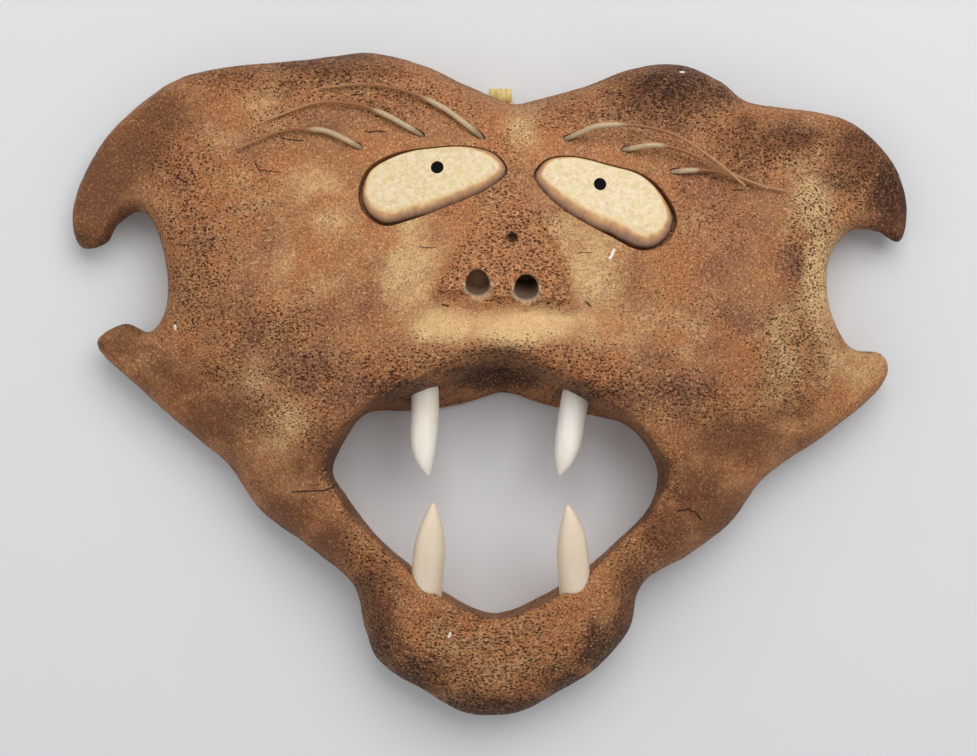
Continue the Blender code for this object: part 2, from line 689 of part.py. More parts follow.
def whisker(name, shares, top, foot, bone, horn):
    """A stiff whisker that leaves its drilled hole on a slant and lies just over the bone."""
    route = open_curve(place(shares), 3)
    along = np.concatenate([[0], np.cumsum(np.linalg.norm(np.diff(route, axis=0), axis=1))])
    height = broad_front(route)
    straight = top / math.tan(WHISKER_SLOPE)
    rise = np.interp(along, [0, straight, 0.5 * along[-1], along[-1]], [0, top, top, top - WHISKER_SETTLE])
    keep = (along == 0) | (along >= straight)
    middles = [Vector(p) for p in np.column_stack([route, height + rise])[keep]]
    share = along[keep] / along[-1]
    inwards = (middles[0] - middles[1]).normalized()
    end = middles[0] + inwards * WHISKER_ROOT_LENGTH
    rod(name, [end] + middles, [WHISKER_DIAMETER / 2, *whisker_radii(share, foot)], WHISKER_SIDES, horn)
    bottom = end + inwards * SOCKET_CLEARANCE
    bore_radius = WHISKER_DIAMETER / 2 + SOCKET_CLEARANCE
    cut(bone, rod(name + "_hole", (bottom, middles[1]), [bore_radius] * 2, HOLE_SIDES))


def open_curve(points, parts):
    """Samples of a smooth open curve through the points."""
    points = np.asarray(points, float)
    padded = np.concatenate([[2 * points[0] - points[1]], points, [2 * points[-1] - points[-2]]])
    samples = []
    for before, start, end, after in zip(padded, padded[1:], padded[2:], padded[3:]):
        for k in range(parts):
            t = k / parts
            bend = 2 * before - 5 * start + 4 * end - after
            twist = -before + 3 * start - 3 * end + after
            samples.append(start + 0.5 * (t * (end - before) + t**2 * bend + t**3 * twist))
    samples.append(points[-1])
    return np.array(samples)


def hanging_loop(bone, hide):
    """A strap folded into a small eye behind the notch, with both its ends in one slot."""
    x, y = place(LOOP_PLACE)
    inner = LOOP_INNER_DIAMETER / 2
    middle_line = inner + LOOP_THICKNESS / 2
    neck_half = LOOP_THICKNESS / 2 + INLAY_CLEARANCE
    centre_y = LOOP_NECK + inner
    line = [(-LOOP_ROOT_LENGTH, neck_half), (0.0, neck_half), (LOOP_NECK_STRAIGHT, neck_half)]
    for turn in np.linspace(LOOP_TURN_START, math.radians(90), LOOP_PARTS):
        line.append((centre_y + middle_line * math.sin(turn), middle_line * math.cos(turn)))
    line += [(a, -b) for a, b in reversed(line[:-1])]
    line = np.array(line)
    tangent = np.gradient(line, axis=0)
    normal = np.column_stack([-tangent[:, 1], tangent[:, 0]])
    normal /= np.linalg.norm(normal, axis=1)[:, None]
    half = LOOP_WIDTH / 2
    loops = []
    for (a, b), (na, nb) in zip(line, normal * LOOP_THICKNESS / 2):
        under, over = (a - na, b - nb), (a + na, b + nb)
        loops.append(np.array([(-half, *under), (half, *under), (half, *over), (-half, *over)]))
    piece = stacked_loops("hanging_loop", loops, hide)
    seat = Matrix.Translation((x, y, LOOP_HEIGHT))
    piece.data.transform(seat)

    half_width = LOOP_WIDTH / 2 + INLAY_CLEARANCE
    half_height = LOOP_THICKNESS + 2 * INLAY_CLEARANCE
    outline = np.array([(-1, -1), (1, -1), (1, 1), (-1, 1)]) * (half_width, half_height)
    slot = [
        np.column_stack([outline[:, 0], np.full(4, far), outline[:, 1]])
        for far in (LOOP_NECK + LOOP_THICKNESS, -LOOP_ROOT_LENGTH - INLAY_CLEARANCE)
    ]
    cutter = stacked_loops("loop_slot", slot)
    cutter.data.transform(seat)
    cut(bone, cutter)


def material(name, colour, roughness):
    made = bpy.data.materials.new(name)
    made.use_nodes = True
    shader = made.node_tree.nodes["Principled BSDF"]
    shader.inputs["Base Color"].default_value = (*colour, 1)
    shader.inputs["Roughness"].default_value = roughness
    return made


def build():
    clear_scene()
    whale_bone = material("whale bone", (0.42, 0.24, 0.13), 0.75)
    ivory = material("ivory", (0.80, 0.72, 0.55), 0.35)
    baleen = material("baleen", (0.015, 0.012, 0.010), 0.3)
    horn = material("whisker", (0.45, 0.33, 0.20), 0.4)
    hide = material("rawhide", (0.70, 0.58, 0.30), 0.6)

    bone = mesh_object("bone_mask", *bone_surface(), whale_bone)
    left = (LEFT_EYE, LEFT_PUPIL, LEFT_EYE_BEVEL, LEFT_BEVEL_TOWARDS, LEFT_GAP_TOWARDS)
    right = (RIGHT_EYE, RIGHT_PUPIL, RIGHT_EYE_BEVEL, RIGHT_BEVEL_TOWARDS, RIGHT_GAP_TOWARDS)
    eye("left_eye", *left, bone, ivory, baleen)
    eye("right_eye", *right, bone, ivory, baleen)
    nostrils(bone)
    for name, tooth in FANGS.items():
        fang(name, *tooth, bone, ivory)
    for name, (shares, top, foot) in WHISKERS.items():
        whisker(name, shares, top, foot, bone, horn)
    hanging_loop(bone, hide)


build()
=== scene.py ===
"""The looks of a spirit mask carved from whale bone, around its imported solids, in metres.

X runs across the face, Y up the forehead and Z out of the face. The mask lies on a pale table and
the camera looks straight down on it. Places on the face are hundredths of its width from the left
and of its height from the bottom, and heights of the carving are hundredths of its depth.
"""

import math

import bmesh
import bpy
import numpy as np
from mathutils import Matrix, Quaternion, Vector, noise
from mathutils.geometry import delaunay_2d_cdt


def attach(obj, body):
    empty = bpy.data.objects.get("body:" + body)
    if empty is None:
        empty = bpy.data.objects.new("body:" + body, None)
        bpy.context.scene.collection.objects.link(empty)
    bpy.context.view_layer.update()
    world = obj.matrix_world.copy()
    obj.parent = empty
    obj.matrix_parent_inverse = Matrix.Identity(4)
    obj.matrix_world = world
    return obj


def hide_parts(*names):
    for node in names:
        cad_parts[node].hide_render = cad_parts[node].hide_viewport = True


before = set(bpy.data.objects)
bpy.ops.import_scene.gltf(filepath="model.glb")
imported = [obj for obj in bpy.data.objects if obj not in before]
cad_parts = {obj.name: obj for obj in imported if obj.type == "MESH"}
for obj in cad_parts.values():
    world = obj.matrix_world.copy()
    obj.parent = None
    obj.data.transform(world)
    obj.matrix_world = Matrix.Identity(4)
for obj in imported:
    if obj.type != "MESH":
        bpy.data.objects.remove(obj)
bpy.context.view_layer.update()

# The mask as a whole
MASK_WIDTH = 0.344
MASK_HEIGHT = 0.270
MASK_DEPTH = 0.060

# Rounding of the edges and the lift of the wings' backs
EDGE_ROUND = 0.013
TIP_ROUND = 0.0045
CHIN_ROUND = 0.017
BACK_ROUND = 0.009
LIP_ROUND = 0.006
LIP_DROP = 0.004
MOUTH_BACK_ROUND = 0.004
WING_LIFT = 0.008
FLAT_HALF_WIDTH = 0.075
PALATE_HOLLOW = 0.005
PALATE_HALF_WIDTH = 0.075 * MASK_WIDTH
SURFACE_STEP = 0.006
UNEVEN_DEPTH = 0.0006
UNEVEN_LUMP = 0.011
SWIRL_SIZE = 0.0022
SWIRL_REACH = 0.0012

# Stains and edges painted on the bone
NOSE_BLUR = 0.0012
NOSE_FADE_TOP = 82
NOSE_FADE_LENGTH = 0.02
RIM_BLUR = 0.0006
PIT_STAIN = 0.0022
FOOT_STAIN = 0.0024
PATCH_FALL = 0.8
LIP_FULLNESS = 0.75
RIM_SHARE = 0.42
TIPS_START, TIPS_SPAN = 0.33, 0.10
CHIN_START, CHIN_SPAN = 0.25, 0.15

# The raised nose
NOSE_RISE = 0.0038
NOSE_STEP = 0.0026
NOSE_GROOVE = 0.0012
NOSE_GROOVE_WIDTH = 0.009
NOSTRIL_DIAMETER = 0.0092
NOSTRIL_TILT = math.radians(35)
NOSTRIL_RIM = 0.0009
NOSE_PIT_DIAMETER = 0.0032
NOSE_PIT_DEPTH = 0.003

# The ivory eyes and their pupils
EYE_POCKET_DEPTH = 0.0058
EYE_PROUD = -0.0004
EYE_TILT = math.radians(2)
EYE_RIM = 0.0007
LEFT_EYE_BEVEL = 0.0058
RIGHT_EYE_BEVEL = 0.0070
EYE_BEVEL_DROP = 0.0042
EYE_BEVEL_START, EYE_BEVEL_SPAN = -0.9, 1.6
EYE_GAP = 0.0011
FACE_MARGIN = 0.0005
EYE_CUT_HEIGHT = 0.02
BARK_STEPS = 10
SEAM_STEP = 0.0004
PUPIL_DIAMETER = 0.0044
PUPIL_LENGTH = 0.003
PUPIL_PROUD = 0.0002

# Fangs, whiskers and hanging loop
UPPER_FANG_DIAMETER = 0.0112
LOWER_FANG_DIAMETER = 0.0128
FANG_TIP_DIAMETER = 0.0012
FANG_STRAIGHT_LENGTH = 0.016
WHISKER_DIAMETER = 0.0022
WHISKER_THIN_DIAMETER = 0.0015
WHISKER_TIP_DIAMETER = 0.0010
WHISKER_STEP_SHARE = 0.14
WHISKER_ROOT_LENGTH = 0.006
LOW_WHISKER_RISE = 0.0022
WHISKER_RISE = 0.0052
HIGH_WHISKER_RISE = 0.0080
WHISKER_SETTLE = 0.0008
WHISKER_SLOPE = math.radians(45)
LOOP_WIDTH = 0.0094
LOOP_THICKNESS = 0.0015
LOOP_INNER_DIAMETER = 0.0036
LOOP_NECK = 0.0030
LOOP_ROOT_LENGTH = 0.010
LOOP_HEIGHT = 0.0056
LOOP_NECK_STRAIGHT = 0.85 * LOOP_NECK
LOOP_TURN_START = math.radians(-50)
LOOP_CORNER = 0.3 * LOOP_THICKNESS
LOOP_SIDE_SHARE = 0.4
INLAY_CLEARANCE = 0.0003
SOCKET_CLEARANCE = 0.0004

# Spacing of the fine mesh
OUTLINE_STEP = 0.0014
FRONT_STEP = 0.00105
BACK_STEP = 0.0030
WALL_ROWS = 40
CUT_EDGE_ANGLE = 40

# The photograph's camera
CAMERA_HEIGHT = 0.700
SEEN_PLANE = 0.045
CAMERA_X = -0.0005
CAMERA_Y = 0.0026
IMAGE_WIDTH = 977
FOCAL_PIXELS = 1675
SENSOR_WIDTH = 36

# The table
TABLE_HALF = 3.0
TABLE_GAP = 0.0003

# The outline, once round from the notch over the nose
OUTLINE = [
    # notch and left lobe
    (52.9, 92.3), (47.7, 94.8), (42.4, 98.0), (36.2, 100.0), (27.7, 99.1), (19.3, 98.2), (13.3, 96.5),
    # left hook
    (8.5, 92.6), (4.0, 87.1), (0.9, 80.3), (0.0, 74.7), (1.2, 70.7), (4.2, 71.3), (5.7, 74.3),
    (8.4, 76.2),
    # left notch and lower point
    (10.3, 73.8), (11.9, 65.9), (11.4, 60.5), (9.7, 57.9), (6.8, 59.2), (3.2, 56.4),
    # left jaw
    (8.4, 49.1), (14.3, 42.5), (18.8, 37.6), (22.9, 30.5), (29.6, 24.2), (33.7, 19.6), (35.1, 13.0),
    (36.7, 8.2),
    # chin
    (42.9, 3.0), (47.1, 0.2), (53.0, 0.2), (58.1, 3.4), (62.8, 7.2), (66.5, 12.8), (68.0, 19.6),
    # right jaw and lower point
    (73.8, 24.2), (78.4, 28.7), (82.3, 35.3), (89.6, 42.0), (96.2, 49.1), (97.4, 52.4), (96.4, 54.7),
    (92.5, 55.7),
    # right notch
    (89.8, 62.6), (90.2, 69.3), (93.0, 73.2),
    # right hook
    (96.1, 73.1), (98.8, 71.6), (99.9, 76.5), (98.3, 83.5), (92.7, 89.9), (86.7, 91.7),
    # right lobe
    (80.3, 92.9), (77.0, 96.0), (72.3, 98.3), (67.6, 97.9), (60.5, 94.7), (54.7, 92.7),
]  # fmt: skip

# The front edge of the mouth and its back edge, point for point
LIP = [
    (31.4, 37.7), (33.1, 43.2), (36.5, 47.2), (41.6, 50.4), (46.7, 53.4), (51.5, 54.8), (56.7, 52.2),
    (62.4, 48.0), (67.6, 43.0), (70.3, 37.4), (68.6, 31.8), (64.9, 26.7), (59.7, 20.7), (55.7, 17.6),
    (50.3, 15.9), (44.5, 18.8), (40.2, 23.4), (35.7, 28.7), (32.7, 33.4),
]  # fmt: skip
MOUTH_BACK = [
    (31.1, 36.3), (32.6, 41.3), (35.1, 45.3), (40.4, 45.8), (46.4, 46.7), (51.6, 48.6), (56.7, 46.7),
    (61.6, 45.2), (66.7, 43.3), (70.0, 36.9), (69.1, 31.1), (65.1, 25.7), (60.9, 21.1), (56.1, 17.3),
    (50.3, 14.8), (44.8, 17.8), (40.3, 22.2), (35.9, 27.4), (32.7, 32.9),
]  # fmt: skip

# Above this place the mouth's wall is hollowed
PALATE = (51.5, 45.0)

# How high the front stands: across, up, height
FRONT = [
    # down the middle
    (52.5, 91, 68), (52.5, 82, 84), (52.3, 70, 92), (51.7, 60, 94), (51.5, 55, 96),
    # eyes and brows
    (43.5, 79, 84), (35, 77, 79), (63, 77, 83), (71, 73, 80), (42, 92, 72), (62, 91, 70),
    # left lobe, wing and hook
    (36, 97, 64), (27, 93, 60), (17, 92, 52), (9, 85, 42), (3, 75, 30), (20, 79, 64), (13, 67, 60),
    # left cheek and lower point
    (25, 66, 77), (36, 62, 86), (22, 54, 72), (11, 55, 48), (4, 56, 36), (18, 43, 50), (29, 43, 74),
    # jaw and chin
    (25, 33, 54), (32, 25, 62), (38, 15, 64), (50.5, 8, 68), (64, 15, 63), (70, 26, 61), (78, 35, 56),
    # right cheek and lower point
    (73, 43, 74), (83, 43, 54), (91, 51, 48), (96, 52, 37), (80, 56, 75), (67, 60, 86), (77, 66, 78),
    # right lobe, wing and hook
    (89, 66, 60), (82, 79, 64), (91, 84, 44), (97, 76, 30), (83, 91, 53), (72, 95, 63),
]  # fmt: skip

NOSE = [
    (52.5, 77.6), (49.7, 74.5), (46.4, 69.4), (44.1, 64.6), (43.9, 62.9), (46.8, 62.3), (51.1, 61.6),
    (55.8, 61.3), (59.0, 61.2), (59.1, 63.5), (57.6, 69.4), (55.4, 73.9),
]  # fmt: skip
NOSE_TOP = 78.0
NOSE_BASE = 64.0
NOSTRILS = {"nostril_left": ((48.6, 64.0), 0.006), "nostril_right": ((54.0, 63.4), 0.014)}
NOSE_PIT = (52.5, 71.0)

LEFT_EYE = [
    (35.0, 77.7), (36.0, 81.2), (39.0, 83.4), (43.3, 84.3), (47.8, 84.5), (50.7, 83.3),
    (51.9, 80.8), (50.0, 78.3), (45.5, 75.7), (41.0, 73.7), (37.9, 72.9), (35.6, 74.9),
]  # fmt: skip
RIGHT_EYE = [
    (54.9, 80.2), (56.3, 82.5), (59.0, 83.1), (63.6, 81.8), (67.5, 80.3), (70.0, 77.4),
    (71.2, 73.7), (69.9, 70.4), (67.2, 69.3), (63.3, 71.5), (59.0, 74.4), (56.0, 77.6),
]  # fmt: skip
LEFT_PUPIL = (44.0, 81.3)
RIGHT_PUPIL = (62.4, 78.9)
LEFT_BEVEL_TOWARDS = math.radians(-72)
RIGHT_BEVEL_TOWARDS = math.radians(-108)
LEFT_GAP_TOWARDS = math.radians(190)
RIGHT_GAP_TOWARDS = math.radians(-35)
EYES = {
    "left_eye": (LEFT_EYE, LEFT_PUPIL, LEFT_EYE_BEVEL, LEFT_BEVEL_TOWARDS, LEFT_GAP_TOWARDS),
    "right_eye": (RIGHT_EYE, RIGHT_PUPIL, RIGHT_EYE_BEVEL, RIGHT_BEVEL_TOWARDS, RIGHT_GAP_TOWARDS),
}

# Each fang: where its straight root ends, its tip, its bow to the right, its diameter, its fullness
FANGS = {
    "fang_upper_left": ((42.4, 47.1, 46), (42.8, 36.4, 48), -0.0014, UPPER_FANG_DIAMETER, 4.4),
    "fang_upper_right": ((59.8, 47.1, 46), (58.1, 36.4, 48), 0.0007, UPPER_FANG_DIAMETER, 4.4),
    "fang_lower_left": ((42.9, 23.6, 65), (43.6, 32.8, 83), 0.0, LOWER_FANG_DIAMETER, 2.4),
    "fang_lower_right": ((59.5, 23.6, 65), (58.7, 32.5, 83), 0.0006, LOWER_FANG_DIAMETER, 2.4),
}

# Each whisker: its places from its hole to its tip, its rise, as the right ones cross, and its foot's share
WHISKERS = {
    "whisker_left_1": (
        [(48.3, 86.5), (44.7, 90.0), (40.7, 92.4), (35.8, 93.7), (30.7, 93.4)], LOW_WHISKER_RISE, 0.36,
    ),  # fmt: skip
    "whisker_left_2": (
        [(41.4, 86.7), (37.4, 89.5), (34.2, 90.8), (30.0, 91.1), (24.3, 88.7)], LOW_WHISKER_RISE, 0.28,
    ),  # fmt: skip
    "whisker_left_3": (
        [(34.6, 84.8), (31.8, 86.6), (29.8, 87.1), (26.0, 86.9), (21.0, 84.6)], LOW_WHISKER_RISE, 0.38,
    ),  # fmt: skip
    "whisker_right_1": (
        [(59.1, 85.8), (62.4, 87.1), (66.8, 87.1), (71.1, 85.7), (75.5, 82.1), (78.8, 78.6)],
        HIGH_WHISKER_RISE, 0.27,
    ),  # fmt: skip
    "whisker_right_2": (
        [(65.7, 84.1), (69.3, 84.4), (73.1, 83.1), (77.1, 80.6), (81.6, 78.5)], WHISKER_RISE, 0.23,
    ),  # fmt: skip
    "whisker_right_3": (
        [(71.5, 80.9), (75.0, 81.0), (78.0, 80.1), (80.3, 79.2), (83.8, 78.3)], LOW_WHISKER_RISE, 0.16,
    ),  # fmt: skip
}

LOOP_PLACE = (51.2, 92.4)

# Patches of colour on the bone as the camera sees it: across, up, half width, half height, strength
PALE = [
    # about the nose and between the eyes
    (54.5, 58.5, 8, 3.2, 1.0), (45, 58.5, 5, 3, 0.9), (41, 66, 4, 7, 0.85), (61.5, 66, 3.6, 7, 0.9),
    (41, 73, 4.5, 3, 0.6), (59, 71.5, 3, 4, 0.7), (53.5, 87, 2.5, 4.5, 0.7), (51, 76.5, 2, 3, 0.4),
    # left wing and cheek
    (29, 79, 5.5, 3, 0.6), (32, 74, 3.5, 4, 0.6), (24.5, 90, 2, 4, 0.65), (19, 86, 3.5, 3, 0.45),
    (36, 93, 7, 1.6, 0.45), (26.5, 66, 2, 8, 0.5), (22, 78, 4, 4, 0.4), (31.5, 65, 5, 3, 0.4),
    (38, 79, 3, 8, 0.3),
    # right wing and cheek
    (87, 76, 3, 6, 0.85), (88, 66, 3.0, 9, 1.0), (83, 55, 3, 7, 0.75), (85, 81, 3.5, 2, 0.5),
    (91, 53, 5, 4, 0.75), (73, 58, 3, 6, 0.5), (66, 58, 3.5, 5, 0.5), (86, 87.5, 3.5, 1.4, 0.5),
    (72, 73, 4, 4, 0.25), (78, 51, 2, 6, 0.2),
    # jaw and chin
    (24, 50, 2.5, 6, 0.55), (27.5, 45, 2.5, 3.5, 0.7), (22, 46, 2, 2.5, 0.5), (26, 41.5, 2.5, 2.5, 0.6),
    (30, 36, 1.5, 2, 0.3), (46, 13, 4, 3.5, 0.45), (52, 12, 6, 4, 0.4), (72, 38, 3, 2, 0.4),
    (84, 44, 4, 1.5, 0.3),
]  # fmt: skip
MAUVE = [
    # left wing and cheek
    (23.5, 84, 4, 3, 0.55), (17, 70, 3.5, 9, 0.45), (25, 70.5, 2.5, 3, 0.65), (22, 60, 6, 6, 0.6),
    (31, 60, 4.5, 4, 0.65), (36, 61, 3, 5, 0.6), (37, 67.5, 2, 2, 0.5), (29, 52, 5, 5, 0.9),
    (25, 56, 5, 4, 0.7), (34, 49, 4, 4.5, 0.9), (38.5, 90, 4, 2, 0.6), (31, 88.5, 4.5, 3, 0.6),
    (15, 79, 3, 5, 0.5), (34.5, 70.5, 2, 1.5, 0.4),
    # right wing and cheek
    (60, 89, 6, 3, 0.6), (70, 87, 6, 5, 0.55), (75, 78, 6, 7, 0.65), (80, 71, 4, 6, 0.7),
    (84, 67, 1.8, 6, 0.9), (76, 67, 4.5, 5, 0.65), (67, 65, 3, 5, 0.5), (69, 53, 4, 4, 0.7),
    (76, 55, 4, 4, 0.6), (78.5, 60, 4, 3.5, 0.85), (72, 49, 6, 4.5, 0.9), (67, 48, 4, 4, 0.9),
    (79, 48, 4, 3, 0.5), (65.5, 60, 1.6, 3, 0.3),
]  # fmt: skip
BROWN = [
    # hooks
    (6, 78, 4, 10, 1.0), (9.5, 84, 5, 5, 0.9), (5, 72, 4, 3, 1.0), (13, 89, 5, 4, 0.8),
    (20, 95, 6, 3, 0.5), (92, 84, 4, 5, 0.9), (96, 76, 3, 6, 1.0), (84, 86, 5, 3, 0.8),
    (79, 85, 4, 5, 0.6),
    # left slope
    (8, 56, 4, 3, 0.8), (14, 51, 5, 4, 0.8), (19, 45, 5, 4.5, 0.9), (21, 39, 3, 4, 0.6),
    (27, 31, 4.5, 4, 0.9), (24, 35.5, 3, 3, 0.55), (32, 27, 3.5, 5, 0.9), (31, 40, 3, 5, 0.7),
    (28, 38, 2, 3, 0.7),
    # right slope
    (78, 42, 6, 4, 1.0), (74, 37, 4, 4, 0.8), (84, 46, 4, 2, 0.6), (77, 31, 5, 4, 1.0),
    (70, 29, 4, 5, 0.9), (74, 33, 4, 4, 1.0), (86, 42, 5, 2.5, 0.5),
    # lobes, jaw and chin
    (33, 96, 8, 3, 0.7), (70, 92, 8, 5, 0.8), (37, 18, 3, 9, 0.8), (66, 18, 2.5, 9, 0.8),
    (50, 17, 9, 1.5, 0.5), (34, 32, 2, 6, 0.6), (51, 54.5, 8, 1.5, 0.4),
]  # fmt: skip
DARK_AND_SHADE = [
    (36, 98, 7, 1.5, 0.55), (28, 96.5, 4, 2, 0.5), (26.5, 93, 1.2, 2.4, 0.4), (16, 96, 6, 1.5, 0.4),
    (71, 94.5, 5, 3.5, 0.95), (76, 92, 3, 2, 0.75), (66, 95, 3, 2, 0.5), (63, 91.5, 3, 1.2, 0.35),
    (96, 78, 3.2, 7, 1.0), (97, 71, 3, 2.5, 1.0), (85, 86, 4, 2, 0.45), (79, 88, 3, 2, 0.45),
    (91, 79.5, 3, 3, 0.6), (84.5, 68, 1.4, 4, 0.4), (93, 86, 4, 2, 0.5), (50, 2.5, 11, 3, 1.0),
    (41, 7.5, 4, 4, 1.0), (38, 12, 2.5, 4.5, 0.85), (60, 6.5, 5, 3.5, 0.9), (65, 12, 2.5, 5, 0.95),
    (63, 11, 3.5, 5, 1.0), (35.5, 21, 1.5, 4, 0.55), (67.5, 20, 1.5, 4, 0.5), (73.5, 33.5, 3, 1.6, 0.5),
    # painted shade: the last three patches on the next line darken the hollow under the upper lip
    (68, 31, 2, 3, 0.35), (50.5, 51, 6, 2.2, 1.0), (40, 49, 5, 2.5, 0.75), (61, 49, 4, 2.5, 0.75),
    (31.7, 38, 1.5, 6, 0.6), (70, 37, 1.5, 5, 0.6), (4, 71, 5, 1.4, 0.6), (5.3, 56, 1, 1.5, 0.6),
    (30, 36, 2, 1.5, 0.5), (52.5, 72, 2.4, 2.4, 0.35),
]  # fmt: skip
POROUS = [
    # left wing and cheek
    (16, 68, 5, 13, 1.0), (15, 82, 5, 6, 0.8), (22, 76, 5, 8, 0.6), (28, 95, 14, 4, 0.95),
    (26, 88, 4, 4, 0.6), (24, 58, 8, 6, 0.85), (30, 51, 8, 6, 0.85), (20, 52, 3.5, 4, 0.9),
    (25, 46, 4, 5, 0.8), (30, 44, 3, 5, 0.8), (35, 60, 6, 6, 0.35), (32, 72, 6, 6, 0.2),
    (40, 92, 8, 4, 0.8), (47, 90, 4, 3, 0.6),
    # right wing and cheek
    (70, 91, 10, 5, 1.0), (82, 84, 10, 5, 0.9), (92, 80, 5, 8, 0.85), (87, 70, 4, 11, 1.0),
    (84, 54, 5, 8, 1.0), (74, 74, 7, 10, 0.5), (73, 60, 8, 8, 0.45), (72, 48, 9, 5, 0.85),
    (60, 90, 7, 4, 0.7), (80, 47, 4, 4, 0.6),
    # lip, jaw and chin
    (50, 53, 20, 3.5, 1.0), (40, 51, 8, 4, 0.9), (63, 50, 7, 5, 0.9), (50, 8, 17, 12, 1.0),
    (36, 22, 4, 12, 0.9), (67, 22, 3.5, 12, 0.85), (33, 36, 3, 6, 0.6), (70, 37, 2, 5, 0.6),
    # brow and beside the nose
    (52, 84, 4, 6, 0.5), (51, 77, 3, 4, 0.8), (44, 76, 5, 2, 0.5), (57, 74, 3, 3, 0.5),
    (65, 64, 4, 5, 0.35),
]  # fmt: skip

SMOOTH = [(53, 58.5, 7, 3, 1.0), (46, 58.5, 5, 3, 0.8), (88, 66, 2.5, 7, 0.6), (60, 58.5, 5, 3, 0.6)]

# Hairline cracks and dark dashes: points across and up, then half the width in millimetres
CRACKS = [
    ([(27.2, 34.1), (29.3, 34.3), (30.9, 34.4), (32.3, 35.0)], 0.30),
    ([(71.6, 31.4), (72.8, 31.6), (73.6, 31.1), (74.4, 30.1)], 0.32),
    ([(23.0, 82.3), (23.5, 81.4), (24.7, 81.1), (25.8, 81.0)], 0.22),
    ([(26.0, 86.1), (27.2, 85.7), (28.5, 85.6)], 0.26),
    ([(13.6, 80.9), (15.4, 79.3)], 0.22),
    ([(44.6, 61.4), (45.3, 61.2)], 0.34),
    ([(60.8, 61.7), (61.3, 61.2)], 0.34),
    ([(29.3, 63.7), (30.1, 63.2)], 0.24),
    ([(30.3, 58.9), (31.2, 58.4)], 0.24),
    ([(35.8, 86.8), (38.1, 86.7)], 0.26),
    ([(34.2, 92.3), (35.4, 92.3)], 0.28),
    ([(75.1, 80.0), (75.9, 80.0)], 0.26),
    ([(77.7, 78.3), (78.8, 78.3)], 0.26),
    ([(60.0, 68.9), (61.4, 68.9)], 0.16),
    ([(42.1, 69.7), (43.9, 69.6)], 0.16),
    ([(83.9, 47.6), (84.1, 47.4)], 0.45),
]  # fmt: skip
CHIPS = [
    ([(13.6, 58.2), (13.6, 58.6)], 0.5),
    ([(63.5, 68.2), (63.9, 69.3)], 0.6),
    ([(45.3, 13.1), (45.4, 13.6)], 0.45),
    ([(72.0, 96.1), (72.4, 96.2)], 0.4),
]  # fmt: skip


def smooth_loop(points, step=None, parts=None):
    """A closed centripetal Catmull-Rom curve through the points."""
    points = np.asarray(points, float)
    count = len(points)
    samples = []
    for i in range(count):
        before, start, end, after = (points[(i + k) % count] for k in (-1, 0, 1, 2))
        knots = [0.0]
        for low, high in ((before, start), (start, end), (end, after)):
            knots.append(knots[-1] + math.sqrt(np.linalg.norm(high - low)))
        pieces = parts or max(2, round(np.linalg.norm(end - start) / step))
        for k in range(pieces):
            t = knots[1] + (knots[2] - knots[1]) * k / pieces
            first = blend(before, start, knots[0], knots[1], t)
            middle = blend(start, end, knots[1], knots[2], t)
            last = blend(end, after, knots[2], knots[3], t)
            low = blend(first, middle, knots[0], knots[2], t)
            high = blend(middle, last, knots[1], knots[3], t)
            samples.append(blend(low, high, knots[1], knots[2], t))
    return np.array(samples)


def blend(low, high, start, end, t):
    return low + (high - low) * (t - start) / (end - start)


def smooth_step(x):
    x = np.clip(x, 0.0, 1.0)
    return x * x * (3 - 2 * x)


OUTLINE_BOX = (
    smooth_loop(OUTLINE, parts=16).min(axis=0),
    smooth_loop(OUTLINE, parts=16).max(axis=0),
)


def place(shares):
    """Plan places in metres from shares of the width and height."""
    low, high = OUTLINE_BOX
    shares = np.asarray(shares, float)
    return ((shares - low) / (high - low) - 0.5) * (MASK_WIDTH, MASK_HEIGHT)


def distance_to(loop, points):
    """The distance from each point to a closed line."""
    along = np.roll(loop, -1, axis=0) - loop
    square = (along**2).sum(axis=1)
    nearest = np.full(len(points), np.inf)
    px, py = points[:, 0].copy(), points[:, 1].copy()
    for (ax, ay), (dx, dy), s in zip(loop, along, square):
        ox = px - ax
        oy = py - ay
        share = np.clip((ox * dx + oy * dy) / s, 0, 1)
        ox -= share * dx
        oy -= share * dy
        np.minimum(nearest, ox * ox + oy * oy, out=nearest)
    return np.sqrt(nearest)


def inside(loop, points):
    """Which points lie inside a closed line."""
    found = np.zeros(len(points), bool)
    px, py = points[:, 0].copy(), points[:, 1].copy()
    for (ax, ay), (bx, by) in zip(loop, np.roll(loop, -1, axis=0)):
        if ay == by:
            continue
        crosses = (ay > py) != (by > py)
        found ^= crosses & (px < ax + (py - ay) * (bx - ax) / (by - ay))
    return found


def bump(r_square):
    """The bending of a thin plate under a point load."""
    return np.where(r_square > 0, r_square * np.log(np.maximum(r_square, 1e-18)), 0.0)


class ThinPlate:
    """A smooth surface through given heights."""

    def __init__(self, points, heights):
        self.points = points
        count = len(points)
        square = ((points[:, None] - points[None]) ** 2).sum(axis=2)
        flat = np.column_stack([np.ones(count), points])
        system = np.zeros((count + 3, count + 3))
        system[:count, :count] = bump(square)
        system[:count, count:] = flat
        system[count:, :count] = flat.T
        self.weights = np.linalg.solve(system, np.concatenate([heights, np.zeros(3)]))

    def heights(self, points):
        result = self.weights[-3] + points @ self.weights[-2:]
        for point, weight in zip(self.points, self.weights):
            result += weight * bump(((points - point) ** 2).sum(axis=1))
        return result


FRONT_PLATE = ThinPlate(place([row[:2] for row in FRONT]), np.array([row[2] for row in FRONT]) / 100)
NOSE_LOOP = smooth_loop(place(NOSE), step=0.0015)


